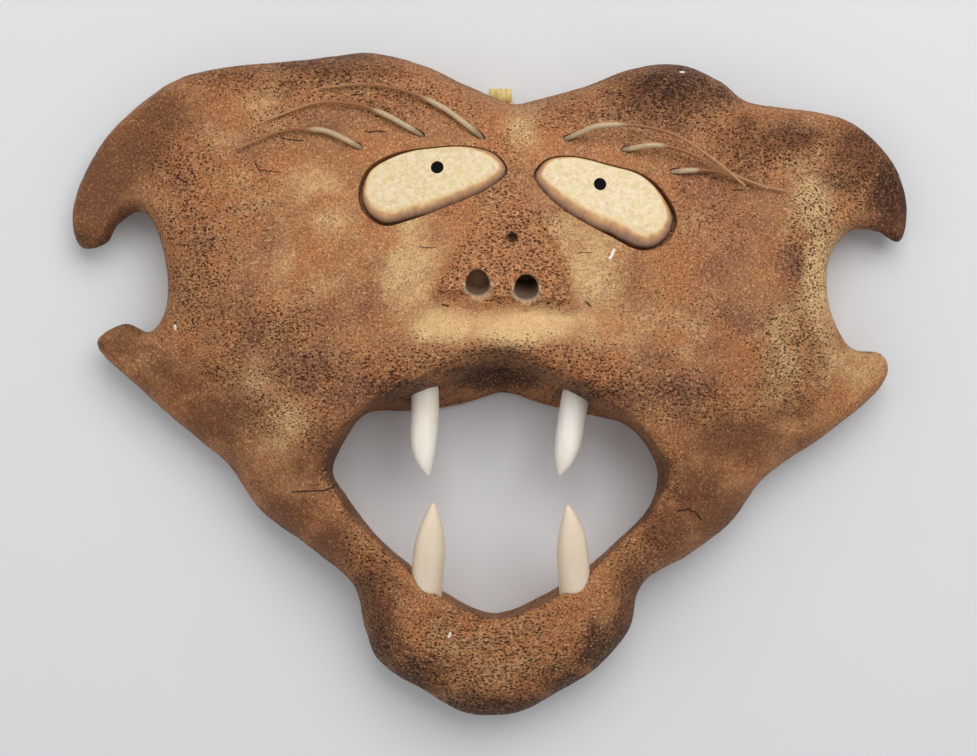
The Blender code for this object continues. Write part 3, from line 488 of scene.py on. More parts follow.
def broad_front(points):
    """The front before its edges are rounded, with the nose."""
    height = FRONT_PLATE.heights(points) * MASK_DEPTH
    nose_top = place((0, NOSE_TOP))[1]
    nose_base = place((0, NOSE_BASE))[1]
    growth = smooth_step((nose_top - points[:, 1]) / (nose_top - nose_base))
    away = distance_to(NOSE_LOOP, points)
    within = inside(NOSE_LOOP, points)
    raised = np.where(within, smooth_step(away / NOSE_STEP) * NOSE_RISE, 0.0)
    groove = np.where(within, 0.0, np.exp(-((away / NOSE_GROOVE_WIDTH) ** 2)) * NOSE_GROOVE)
    return height + growth * (raised - groove)


def back_height(points):
    """The flat back, whose wings lift off the table."""
    reach = (np.abs(points[:, 0]) - FLAT_HALF_WIDTH) / (MASK_WIDTH / 2 - FLAT_HALF_WIDTH)
    return WING_LIFT * smooth_step(reach)


def edge_round(points):
    """How far in the front edge is rounded: least at the tips of the wings, most on the chin."""
    tips = smooth_step((np.abs(points[:, 0]) / MASK_WIDTH - TIPS_START) / TIPS_SPAN)
    chin = smooth_step((-points[:, 1] / MASK_HEIGHT - CHIN_START) / CHIN_SPAN)
    return EDGE_ROUND + (TIP_ROUND - EDGE_ROUND) * tips + (CHIN_ROUND - EDGE_ROUND) * chin


def back_round(points):
    return BACK_ROUND * edge_round(points) / max(EDGE_ROUND, CHIN_ROUND)


def fall(away, reach):
    """A quarter round: 1 at the edge, 0 from reach inwards."""
    left = np.clip(1 - away / reach, 0, 1)
    return 1 - np.sqrt(1 - left**2)


def front_height(points, to_outline, to_lip):
    front = broad_front(points)
    back = back_height(points)
    outer = fall(to_outline, edge_round(points)) * (1 - RIM_SHARE) * (front - back)
    inner = fall(to_lip, LIP_ROUND) * LIP_DROP
    return front - outer - inner


def under_height(points, to_outline, to_mouth):
    front = broad_front(points)
    back = back_height(points)
    outer = fall(to_outline, back_round(points)) * RIM_SHARE * (front - back)
    inner = fall(to_mouth, MOUTH_BACK_ROUND) * MOUTH_BACK_ROUND
    return back + np.maximum(outer, inner)


def loop_normals(loop):
    tangent = np.roll(loop, -1, axis=0) - np.roll(loop, 1, axis=0)
    normal = np.column_stack([-tangent[:, 1], tangent[:, 0]])
    return normal / np.linalg.norm(normal, axis=1)[:, None]


def turn_of(loop):
    """1 where the line runs anticlockwise, so that its inside is on its left, or else -1."""
    ahead = np.roll(loop, -1, axis=0)
    return 1 if (loop[:, 0] * ahead[:, 1] - loop[:, 1] * ahead[:, 0]).sum() > 0 else -1


def offset_rows(loop, reach, shares, side):
    """Rows of points beside a closed line, each a share of the reach away from it."""
    normal = loop_normals(loop)
    rows = []
    for share in shares:
        row = loop + normal * (side * share * reach)[:, None]
        kept = distance_to(loop, row) > 0.97 * np.abs(share * reach)
        rows.append(row[kept])
    return np.concatenate(rows)


def hex_grid(step):
    rows = []
    for j, y in enumerate(np.arange(-MASK_HEIGHT / 2, MASK_HEIGHT / 2, step * math.sqrt(0.75))):
        x = np.arange(-MASK_WIDTH / 2, MASK_WIDTH / 2, step) + (step / 2 if j % 2 else 0)
        rows.append(np.column_stack([x, np.full(len(x), y)]))
    return np.concatenate(rows)


def sheet_faces(outer, hole, free):
    """Triangles between an outer line and the line of a hole, through the free points."""
    points = np.concatenate([outer, hole, free])
    edges = []
    for first, count in ((0, len(outer)), (len(outer), len(hole))):
        edges += [(first + k, first + (k + 1) % count) for k in range(count)]
    found = delaunay_2d_cdt([Vector(p) for p in points], edges, [], 0, 1e-9)
    origin = np.array([sources[0] for sources in found[3]])
    faces = origin[np.array(found[2])]
    middle = points[faces].mean(axis=1)
    keep = inside(outer, middle) & ~inside(hole, middle)
    faces = faces[keep]
    a, b, c = (points[faces[:, k]] for k in range(3))
    turned = (b[:, 0] - a[:, 0]) * (c[:, 1] - a[:, 1]) < (b[:, 1] - a[:, 1]) * (c[:, 0] - a[:, 0])
    faces[turned] = faces[turned][:, ::-1]
    return faces


def bone_surface():
    """The whole bone before anything is bored into it."""
    outline = smooth_loop(place(OUTLINE), step=OUTLINE_STEP)
    lip = smooth_loop(place(LIP), parts=14)
    mouth = smooth_loop(place(MOUTH_BACK), parts=14)

    rows = np.concatenate([
        offset_rows(outline, edge_round(outline), (0.015, 0.05, 0.11, 0.19), 1),
        offset_rows(lip, np.full(len(lip), LIP_ROUND), (0.03, 0.12, 0.28), 1),
        offset_rows(NOSE_LOOP, np.full(len(NOSE_LOOP), NOSE_STEP), (0.0, 0.5, 1.0), 1),
    ])
    grid = hex_grid(FRONT_STEP)
    clear = inside(outline, grid) & ~inside(lip, grid)
    grid = grid[clear]
    clear = distance_to(outline, grid) > 0.19 * edge_round(grid) + 0.6 * FRONT_STEP
    clear &= distance_to(lip, grid) > 0.28 * LIP_ROUND + 0.5 * FRONT_STEP
    to_nose = distance_to(NOSE_LOOP, grid)
    clear &= np.abs(to_nose - 0.5 * NOSE_STEP) > 0.5 * NOSE_STEP + 0.3 * FRONT_STEP
    front_free = np.concatenate([rows, grid[clear]])
    front_free = front_free[inside(outline, front_free) & ~inside(lip, front_free)]

    rows = np.concatenate([
        offset_rows(outline, back_round(outline), (0.02, 0.08, 0.18, 0.34, 0.6), 1),
        offset_rows(mouth, np.full(len(mouth), MOUTH_BACK_ROUND), (0.1, 0.35, 0.8), 1),
    ])
    grid = hex_grid(BACK_STEP)
    grid = grid[inside(outline, grid) & ~inside(mouth, grid)]
    clear = distance_to(outline, grid) > 0.6 * back_round(grid) + 0.5 * BACK_STEP
    clear &= distance_to(mouth, grid) > MOUTH_BACK_ROUND
    back_free = np.concatenate([rows, grid[clear]])
    back_free = back_free[inside(outline, back_free) & ~inside(mouth, back_free)]

    def front(points, on_outline=False, on_lip=False):
        to_outline = np.zeros(len(points)) if on_outline else distance_to(outline, points)
        to_lip = np.zeros(len(points)) if on_lip else distance_to(lip, points)
        return np.column_stack([points, front_height(points, to_outline, to_lip)])

    def under(points, on_mouth=False):
        to_mouth = np.zeros(len(points)) if on_mouth else distance_to(mouth, points)
        return np.column_stack([points, under_height(points, distance_to(outline, points), to_mouth)])

    rim = front(outline, on_outline=True)
    lip_points = front(lip, on_lip=True)
    mouth_points = under(mouth, on_mouth=True)
    walls = wall_rows(lip_points, mouth_points, WALL_ROWS)

    points = [rim, lip_points, front(front_free), *walls, mouth_points, under(back_free)]
    starts = np.cumsum([0] + [len(block) for block in points])
    front_index = np.arange(starts[0], starts[3])
    back_index = np.concatenate([
        np.arange(starts[0], starts[1]),
        np.arange(starts[-3], starts[-2]),
        np.arange(starts[-2], starts[-1]),
    ])
    faces = [front_index[sheet_faces(outline, lip, front_free)]]
    faces.append(back_index[sheet_faces(outline, mouth, back_free)][:, ::-1])
    rings = [starts[1]] + [starts[3 + k] for k in range(len(walls))] + [starts[-3]]
    for upper, lower in zip(rings, rings[1:]):
        faces.append(ring_faces(upper, lower, len(lip)))
    return np.concatenate(points), np.concatenate(faces)


def wall_rows(top, bottom, rows):
    """The mouth's wall from its front edge to its back edge, hollowed under the middle of the lip."""
    middle, under_lip = place(PALATE)
    result = []
    for k in range(1, rows):
        t = k / rows
        row = top + (bottom - top) * t
        row[:, :2] = top[:, :2] + (bottom - top)[:, :2] * t**LIP_FULLNESS
        near = np.exp(-(((row[:, 0] - middle) / PALATE_HALF_WIDTH) ** 2))
        upper = top[:, 1] > under_lip
        row[:, 1] += np.where(upper, near * PALATE_HOLLOW * math.sin(math.pi * t) ** 2, 0.0)
        result.append(row)
    return result


def ring_faces(upper, lower, count):
    k = np.arange(count)
    n = (k + 1) % count
    first = np.column_stack([upper + k, lower + k, lower + n])
    second = np.column_stack([upper + k, lower + n, upper + n])
    return np.concatenate([first, second])


def linked(name, data):
    made = bpy.data.objects.new(name, data)
    bpy.context.scene.collection.objects.link(made)
    return made


def mesh_object(name, points, faces, material=None, sharp_angle=50):
    mesh = bpy.data.meshes.new(name)
    mesh.from_pydata(np.asarray(points).tolist(), [], [list(map(int, f)) for f in faces])
    piece = linked(name, mesh)
    work = bmesh.new()
    work.from_mesh(mesh)
    bmesh.ops.recalc_face_normals(work, faces=work.faces)
    work.to_mesh(mesh)
    work.free()
    mesh.shade_smooth()
    mesh.set_sharp_from_angle(angle=math.radians(sharp_angle))
    if material:
        mesh.materials.append(material)
    return piece


def stacked_loops(name, loops, material=None, sharp_angle=35):
    """A closed solid through loops of equal count, from the bottom up, with flat ends."""
    count = len(loops[0])
    faces = [tuple(range(count))[::-1]]
    for k in range(len(loops) - 1):
        for i in range(count):
            n = (i + 1) % count
            faces.append((k * count + i, k * count + n, (k + 1) * count + n, (k + 1) * count + i))
    last = (len(loops) - 1) * count
    faces.append(tuple(range(last, last + count)))
    return mesh_object(name, np.concatenate(loops), faces, material, sharp_angle)


def rod(name, middles, radii, sides, material=None, sharp_angle=35):
    """A round solid along a line, with its own radius at each point of the line."""
    middles = [Vector(m) for m in middles]
    across = None
    loops = []
    for i, (middle, radius) in enumerate(zip(middles, radii)):
        ahead = (middles[min(i + 1, len(middles) - 1)] - middles[max(i - 1, 0)]).normalized()
        if across is None:
            across = ahead.orthogonal().normalized()
        across = (across - ahead * across.dot(ahead)).normalized()
        other = ahead.cross(across)
        loops.append(np.array([
            middle + float(radius) * (math.cos(a) * across + math.sin(a) * other)
            for a in np.arange(sides) * 2 * math.pi / sides
        ]))
    return stacked_loops(name, loops, material, sharp_angle)


def cut_all(piece, cutters):
    """Takes the cutters' shapes out of the piece and deletes them."""
    for cutter in cutters:
        modifier = piece.modifiers.new("cut", "BOOLEAN")
        modifier.operation = "DIFFERENCE"
        modifier.object = cutter
    bpy.context.view_layer.update()
    graph = bpy.context.evaluated_depsgraph_get()
    mesh = bpy.data.meshes.new_from_object(piece.evaluated_get(graph))
    piece.modifiers.clear()
    mesh.set_sharp_from_angle(angle=math.radians(CUT_EDGE_ANGLE))
    piece.data = mesh
    for cutter in cutters:
        bpy.data.objects.remove(cutter, do_unlink=True)


def inset(loop, widths):
    return loop + loop_normals(loop) * turn_of(loop) * np.broadcast_to(widths, len(loop))[:, None]


def surface_at(point):
    """The height and the outward normal of the front at a plan place."""
    x, y = point
    step = SURFACE_STEP
    around = np.array([(x, y), (x + step, y), (x - step, y), (x, y + step), (x, y - step)])
    z = FRONT_PLATE.heights(around) * MASK_DEPTH
    normal = Vector(((z[2] - z[1]) / (2 * step), (z[4] - z[3]) / (2 * step), 1)).normalized()
    return z[0], normal


class EyePlane:
    """The plane of an eye's face, which leans up a little from the bone around it."""

    def __init__(self, loop):
        self.middle = loop.mean(axis=0)
        height, normal = surface_at(self.middle)
        self.normal = Quaternion((1, 0, 0), -EYE_TILT) @ normal
        self.height = height + EYE_PROUD

    def lift(self, loop, above):
        """Plan points moved onto the plane, then along its normal."""
        slope = np.array([-self.normal.x, -self.normal.y]) / self.normal.z
        z = self.height + (loop - self.middle) @ slope
        return np.column_stack([loop, z]) + np.array(self.normal) * np.reshape(above, (-1, 1))


def float_attribute(piece, name, values):
    made = piece.data.attributes.new(name, "FLOAT", "POINT")
    made.data.foreach_set("value", np.asarray(values, np.float32))


def finish_piece(piece, slot, *nodes):
    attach(piece, "root")
    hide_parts(*nodes)


class Shader:
    """Builds a node material, one node at a time."""

    def __init__(self, name, roughness, specular=0.5):
        self.material = bpy.data.materials.new(name)
        self.material.use_nodes = True
        self.tree = self.material.node_tree
        self.main = self.tree.nodes["Principled BSDF"]
        self.main.inputs["Roughness"].default_value = roughness
        self.main.inputs["Specular IOR Level"].default_value = specular
        self.place = self.made("ShaderNodeTexCoord", {}, "Object")

    def feed(self, socket, value):
        if isinstance(value, (int, float)):
            socket.default_value = value
        elif isinstance(value, tuple):
            is_colour = len(value) == 3 and len(socket.default_value) == 4
            socket.default_value = (*value, 1) if is_colour else value
        else:
            self.tree.links.new(value, socket)

    def made(self, kind, feeds, output, **values):
        """The output of a new node whose sockets are fed."""
        new = self.tree.nodes.new(kind)
        for key, value in values.items():
            setattr(new, key, value)
        for key, value in feeds.items():
            self.feed(new.inputs[key], value)
        return new.outputs[output]

    def attribute(self, name, output="Fac"):
        return self.made("ShaderNodeAttribute", {}, output, attribute_name=name)

    def math(self, operation, first, second=0.0, clamp=False):
        return self.made("ShaderNodeMath", {0: first, 1: second}, 0, operation=operation, use_clamp=clamp)

    def vector(self, operation, first, second, output=0):
        return self.made("ShaderNodeVectorMath", {0: first, 1: second}, output, operation=operation)

    def scaled(self, vector, factor):
        return self.made("ShaderNodeVectorMath", {0: vector, "Scale": factor}, 0, operation="SCALE")

    def ramp(self, value, low, high, to_low=0.0, to_high=1.0):
        feeds = dict(enumerate((value, low, high, to_low, to_high)))
        return self.made("ShaderNodeMapRange", feeds, 0, interpolation_type="SMOOTHSTEP")

    def mix(self, share, first, second):
        feeds = {"Factor": share, "A": first, "B": second}
        return self.made("ShaderNodeMix", feeds, "Result", data_type="RGBA", blend_type="MIX")

    def tint(self, base, share, strength, colour):
        return self.mix(self.math("MULTIPLY", share, strength), base, colour)

    def noise(self, size, detail=3, roughness=0.55, place=None, stretch=(1, 1, 1)):
        """Noise whose lumps are about this many metres across."""
        at = self.stretched(place, stretch)
        feeds = {"Vector": at, "Scale": 1 / size, "Detail": detail, "Roughness": roughness}
        return self.made("ShaderNodeTexNoise", feeds, "Fac")

    def stretched(self, place, stretch):
        place = place or self.place
        if stretch == (1, 1, 1):
            return place
        return self.made("ShaderNodeMapping", {"Vector": place, "Scale": stretch}, "Vector")

    def cells(self, size, place, stretch):
        """The distance to the nearest of many points about this far apart, as a share of that."""
        feeds = {"Vector": self.stretched(place, stretch), "Scale": 1 / size}
        return self.made("ShaderNodeTexVoronoi", feeds, "Distance")

    def bump(self, height, distance, strength, under=None):
        feeds = {"Height": height, "Distance": distance, "Strength": strength}
        if under:
            feeds["Normal"] = under
        return self.made("ShaderNodeBump", feeds, "Normal")

    def lines(self, plan, rows):
        """1 on each of some thin lines drawn over the face, 0 elsewhere."""
        nearest = None
        for shares, half_width in rows:
            ends = [tuple(p) + (0.0,) for p in place(shares).tolist()]
            for start, end in zip(ends, ends[1:]):
                along = Vector(end) - Vector(start)
                from_start = self.vector("SUBTRACT", plan, start)
                dot = self.vector("DOT_PRODUCT", from_start, tuple(along / along.length_squared), "Value")
                closest = self.scaled(tuple(along), self.math("ADD", dot, 0.0, clamp=True))
                apart = self.vector("DISTANCE", from_start, closest, "Value")
                here = self.math("DIVIDE", apart, half_width / 1000)
                nearest = here if nearest is None else self.math("MINIMUM", nearest, here)
        return self.ramp(nearest, 0.6, 1.4, 1.0, 0.0)

    def colour(self, value):
        self.feed(self.main.inputs["Base Color"], value)

    def normal(self, value):
        self.feed(self.main.inputs["Normal"], value)

    def rough(self, value):
        self.feed(self.main.inputs["Roughness"], value)


def srgb(red, green, blue):
    """A colour as seen on a screen, 0 to 255, as the light it stands for."""
    def one(value):
        value /= 255
        return value / 12.92 if value <= 0.04045 else ((value + 0.055) / 1.055) ** 2.4
    return (one(red), one(green), one(blue))


def bone_material():
    s = Shader("aged whale bone", 0.68, 0.16)

    def cover(name, lumps, wander, low, high):
        """Where a kind of patch shows, its soft edge broken up by noise."""
        drift = s.math("MULTIPLY", s.math("SUBTRACT", s.noise(lumps, 6, 0.68), 0.5), wander)
        return s.ramp(s.math("ADD", s.attribute(name), drift), low, high)

    base = s.mix(s.ramp(s.noise(0.022, 3, 0.6), 0.38, 0.66), srgb(180, 126, 82), srgb(192, 124, 76))
    base = s.mix(cover("pale", 0.012, 1.5, 0.15, 0.95), base, srgb(232, 190, 135))
    base = s.tint(base, cover("mauve", 0.009, 2.0, 0.25, 1.0), 0.8, srgb(128, 84, 64))
    base = s.tint(base, cover("brown", 0.011, 1.5, 0.1, 0.9), 0.9, srgb(108, 68, 40))
    base = s.tint(base, s.attribute("nose"), 0.85, srgb(202, 136, 88))
    # the dark patches are the bone's dark stains, and under the upper lip painted shade
    base = s.tint(base, cover("dark", 0.007, 1.4, 0.15, 0.95), 0.93, srgb(46, 26, 17))
    calm = s.ramp(s.attribute("smooth"), 0.1, 0.9, 1.0, 0.3)
    mottle = s.ramp(s.noise(0.0045, 5, 0.72), 0.36, 0.64)
    base = s.mix(mottle, s.tint(base, calm, 0.26, srgb(104, 62, 44)), base)
    pink = s.ramp(s.noise(0.0016, 3, 0.6), 0.50, 0.66)
    base = s.tint(base, pink, 0.4, s.mix(0.6, base, srgb(178, 112, 96)))
    grain = s.ramp(s.noise(0.0008, 2, 0.6), 0.36, 0.60)
    base = s.mix(grain, s.tint(base, calm, 0.46, srgb(92, 50, 30)), base)
    light = s.ramp(s.noise(0.0010, 2, 0.6), 0.52, 0.70)
    sunlit = s.math("MULTIPLY", light, s.ramp(s.attribute("brown"), 0.2, 0.9, 0.6, 0.25))
    base = s.mix(sunlit, base, s.mix(0.6, base, srgb(250, 206, 140)))

    # pores: small hollows, painted dark as the shade inside them, drawn out sideways and bent by a slow
    # swirl
    swirl = s.made("ShaderNodeTexNoise", {"Vector": s.place, "Scale": 1 / SWIRL_SIZE}, "Color")
    centred = s.vector("SUBTRACT", swirl, (0.5, 0.5, 0.5))
    warp = s.vector("ADD", s.place, s.scaled(centred, SWIRL_REACH))
    uneven = s.math("MULTIPLY", s.math("SUBTRACT", s.noise(0.006, 4, 0.65), 0.5), 0.7)
    porous = s.math("ADD", s.attribute("pores"), uneven)
    wide = s.cells(0.00116, warp, (0.66, 1.18, 1))
    coarse = s.math("SUBTRACT", wide, s.ramp(porous, -0.25, 1.0, 0.04, 0.39))
    small = s.cells(0.00072, warp, (0.75, 1.1, 1))
    fine = s.math("SUBTRACT", small, s.ramp(porous, -0.3, 1.0, 0.06, 0.33))
    hole = s.ramp(coarse, -0.10, 0.08, 1.0, 0.0)
    speck = s.math("MULTIPLY", s.ramp(fine, -0.08, 0.08, 1.0, 0.0), 0.7)
    hole = s.math("MAXIMUM", hole, speck)
    deep = s.ramp(s.noise(0.003, 2), 0.35, 0.6, 0.58, 0.92)
    # painted shade: the pores take a near-black brown, stronger in some places than others, as if shade
    # filled them
    base = s.mix(s.math("MULTIPLY", hole, deep), base, srgb(48, 24, 14))

    plan = s.vector("MULTIPLY", warp, (1, 1, 0))
    crack = s.lines(plan, CRACKS)
    base = s.tint(base, crack, 0.85, srgb(36, 22, 16))
    base = s.mix(s.lines(plan, CHIPS), base, srgb(238, 230, 214))
    # the cut rim of each nostril is pale bone, painted brighter on its lower side as painted light where it
    # faces the lamp
    base = s.mix(s.attribute("rim"), base, srgb(214, 190, 160))
    # painted shade: the walls of the nostril bores are painted dark brown as the shade inside them
    base = s.mix(s.attribute("bore"), base, srgb(82, 60, 44))
    s.colour(base)
    s.rough(s.ramp(hole, 0.0, 1.0, 0.58, 0.9))
    under = s.bump(s.noise(0.0010, 3), 0.00018, 0.6)
    hollow = s.math("SUBTRACT", 1.0, s.math("MAXIMUM", hole, crack))
    s.normal(s.bump(hollow, 0.0006, 0.7, under))
    return s.material


def eye_material():
    s = Shader("eye ivory", 0.34, 0.45)
    mottle = s.ramp(s.noise(0.0022, 5, 0.7), 0.38, 0.62)
    face = s.mix(mottle, srgb(214, 186, 134), srgb(232, 211, 174))
    tint = s.ramp(s.noise(0.004, 4, 0.65), 0.45, 0.62)
    face = s.tint(face, tint, 0.5, srgb(222, 204, 140))
    blush = s.ramp(s.noise(0.0013, 3, 0.65), 0.5, 0.66)
    face = s.tint(face, blush, 0.45, srgb(240, 222, 200))

    bark = s.attribute("bark")
    uneven = s.math("MULTIPLY", s.math("SUBTRACT", s.noise(0.004, 3), 0.5), 0.5)
    depth = s.math("ADD", bark, s.math("MULTIPLY", uneven, s.ramp(bark, 0.0, 0.3)))
    bark_and_gap_shade = s.mix(s.ramp(depth, 0.10, 0.36), srgb(230, 194, 136), srgb(198, 148, 100))
    bark_and_gap_shade = s.mix(s.ramp(depth, 0.30, 0.60), bark_and_gap_shade, srgb(158, 122, 98))
    # painted shade: the deepest part of the bevel, down by the pocket's wall, is painted dark brown
    bark_and_gap_shade = s.mix(s.ramp(depth, 0.58, 0.90), bark_and_gap_shade, srgb(72, 46, 34))
    seam = s.attribute("around", "Vector")
    crack = s.ramp(s.noise(0.0007, 2, 0.6, seam), 0.28, 0.36, 1.0, 0.0)
    hair = s.ramp(s.noise(0.0003, 2, 0.6, seam), 0.36, 0.48, 0.35, 0.0)
    crack = s.math("MAXIMUM", s.math("MULTIPLY", crack, 0.8), hair)
    bark_and_gap_shade = s.mix(s.math("MULTIPLY", crack, s.ramp(depth, 0.1, 0.5)), bark_and_gap_shade, srgb(70, 46, 40))
    s.colour(s.mix(s.ramp(depth, 0.0, 0.30), face, bark_and_gap_shade))
    s.main.inputs["Subsurface Weight"].default_value = 0.1
    s.main.inputs["Subsurface Radius"].default_value = (0.003, 0.002, 0.001)
    s.normal(s.bump(s.noise(0.002, 3), 0.00008, 0.3))
    return s.material


def fang_material():
    s = Shader("fang ivory", 0.34, 0.5)
    streak = s.noise(0.0028, 3, 0.5, stretch=(1, 0.1, 1))
    base = s.mix(s.ramp(streak, 0.35, 0.65), srgb(248, 238, 222), srgb(254, 248, 238))
    base = s.mix(s.math("MULTIPLY", s.ramp(s.noise(0.012, 2), 0.5, 0.75), 0.5), base, srgb(240, 226, 198))
    base = s.mix(s.attribute("warm"), base, s.mix(streak, srgb(232, 210, 180), srgb(243, 226, 202)))
    s.colour(base)
    s.main.inputs["Subsurface Weight"].default_value = 0.2
    s.main.inputs["Subsurface Radius"].default_value = (0.004, 0.003, 0.002)
    s.normal(s.bump(streak, 0.00005, 0.3))
    return s.material


def baleen_material():
    s = Shader("baleen", 0.7, 0.08)
    s.colour(s.mix(s.noise(0.0006, 2), srgb(4, 3, 3), srgb(16, 12, 11)))
    return s.material


def whisker_material():
    s = Shader("whisker", 0.35, 0.5)
    along = s.attribute("along")
    horn = s.mix(s.ramp(along, 1.4, 3.0), srgb(152, 92, 48), srgb(186, 136, 88))
    base = s.mix(s.ramp(along, 0.85, 1.15), srgb(198, 172, 134), horn)
    streak = s.math("MULTIPLY", s.ramp(s.noise(0.0006, 3, 0.6), 0.35, 0.65), 0.35)
    base = s.mix(streak, base, srgb(120, 88, 58))
    # painted shade: each whisker's foot is darkened where it goes into its hole
    base = s.mix(s.ramp(along, 0.0, 0.12, 0.4, 0.0), base, srgb(120, 98, 76))
    s.colour(base)
    return s.material


def hide_material():
    s = Shader("rawhide", 0.6, 0.3)
    fibre = s.noise(0.0012, 4, 0.6, stretch=(1, 0.2, 0.2))
    s.colour(s.mix(s.ramp(fibre, 0.3, 0.7), srgb(196, 164, 92), srgb(232, 212, 142)))
    s.normal(s.bump(fibre, 0.0002, 0.4))
    return s.material


def table_material():
    s = Shader("pale table", 0.8, 0.2)
    s.colour(s.mix(s.noise(0.05, 4), (0.735, 0.738, 0.742), (0.755, 0.758, 0.762)))
    return s.material


def patches(rows, points):
    """How strongly each point is covered by a list of soft round patches, as the camera sees it."""
    camera = np.array([CAMERA_X, CAMERA_Y])
    nearer = (CAMERA_HEIGHT - SEEN_PLANE) / (CAMERA_HEIGHT - points[:, 2:])
    seen = (points[:, :2] - camera) * nearer + camera
    result = np.zeros(len(points))
    for across, up, half_width, half_height, strength in rows:
        middle = (across * MASK_WIDTH / 100 - MASK_WIDTH / 2, up * MASK_HEIGHT / 100 - MASK_HEIGHT / 2)
        reach = np.array([half_width * MASK_WIDTH, half_height * MASK_HEIGHT]) / 100
        away = (((seen - middle) / reach) ** 2).sum(axis=1)
        result = np.maximum(result, strength * np.exp(-away * PATCH_FALL))
    return result


def vertex_values(piece, name):
    """The places or the normals of a piece's vertices, one row each."""
    values = np.empty(len(piece.data.vertices) * 3, np.float32)
    piece.data.vertices.foreach_get(name, values)
    return values.reshape(-1, 3)


def make_bone(material):
    points, faces = bone_surface()
    bone = mesh_object("whale_bone", points, faces, material)
    lumps = np.array([noise.fractal(Vector(p) / UNEVEN_LUMP, 0.9, 2.2, 4) for p in points])
    depths = UNEVEN_DEPTH * np.clip(0.5 + 0.5 * lumps, 0, 1)
    sunk = points - vertex_values(bone, "normal") * depths[:, None]
    bone.data.vertices.foreach_set("co", sunk.astype(np.float32).ravel())
    cut_all(bone, bone_cutters())
    paint_bone(bone)
    finish_piece(bone, "bone", "bone_mask")


def bone_cutters():
    """The shapes of all that is bored or sunk into the bone."""
    cutters = []
    for name, row in EYES.items():
        pocket = smooth_loop(place(row[0]), parts=8)
        plane = EyePlane(pocket)
        floor = -(EYE_POCKET_DEPTH + EYE_PROUD)
        loops = [plane.lift(pocket, floor), plane.lift(pocket, EYE_CUT_HEIGHT)]
        cutters.append(stacked_loops(name + "_pocket", loops))
    for name, (share, depth) in NOSTRILS.items():
        mouth, inwards = nostril_line(share)
        radius = NOSTRIL_DIAMETER / 2
        reaches = (-4 * NOSTRIL_RIM, 0.0, NOSTRIL_RIM, depth)
        radii = (radius + 5 * NOSTRIL_RIM, radius + NOSTRIL_RIM, radius, radius)
        middles = [mouth + inwards * reach for reach in reaches]
        cutters.append(rod(name, middles, radii, 48))
    x, y = place(NOSE_PIT)
    z = broad_front(np.array([[x, y]]))[0]
    radii = (NOSE_PIT_DIAMETER / 4, NOSE_PIT_DIAMETER)
    cutters.append(rod("nose_pit", ((x, y, z - NOSE_PIT_DEPTH), (x, y, z + NOSE_PIT_DEPTH)), radii, 24))
    for name, tooth in FANGS.items():
        middles, _, end = fang_line(*tooth)
        cutters.append(socket(name + "_socket", middles, end, tooth[3], 40))
    for name, row in WHISKERS.items():
        middles, _, end = whisker_line(*row[:2])
        cutters.append(socket(name + "_hole", middles, end, WHISKER_DIAMETER, 20))
    x, y = place(LOOP_PLACE)
    half_width = LOOP_WIDTH / 2 + INLAY_CLEARANCE
    half_height = LOOP_THICKNESS + 2 * INLAY_CLEARANCE
    outline = np.array([(-1, -1), (1, -1), (1, 1), (-1, 1)]) * (half_width, half_height)
    slot = [
        np.column_stack([outline[:, 0] + x, np.full(4, far + y), outline[:, 1] + LOOP_HEIGHT])
        for far in (LOOP_NECK + LOOP_THICKNESS, -LOOP_ROOT_LENGTH - INLAY_CLEARANCE)
    ]
    return cutters + [stacked_loops("loop_slot", slot)]


def socket(name, middles, end, diameter, sides):
    """The bore for a straight root, a little wider and deeper than the root."""
    inwards = (middles[0] - middles[1]).normalized()
    radius = diameter / 2 + SOCKET_CLEARANCE
    return rod(name, (end + inwards * SOCKET_CLEARANCE, middles[1]), [radius] * 2, sides)


def nostril_line(share):
    """Where a nostril opens, and the way its bore runs."""
    x, y = place(share)
    z = broad_front(np.array([[x, y]]))[0]
    return Vector((x, y, z)), Vector((0, math.sin(NOSTRIL_TILT), -math.cos(NOSTRIL_TILT)))


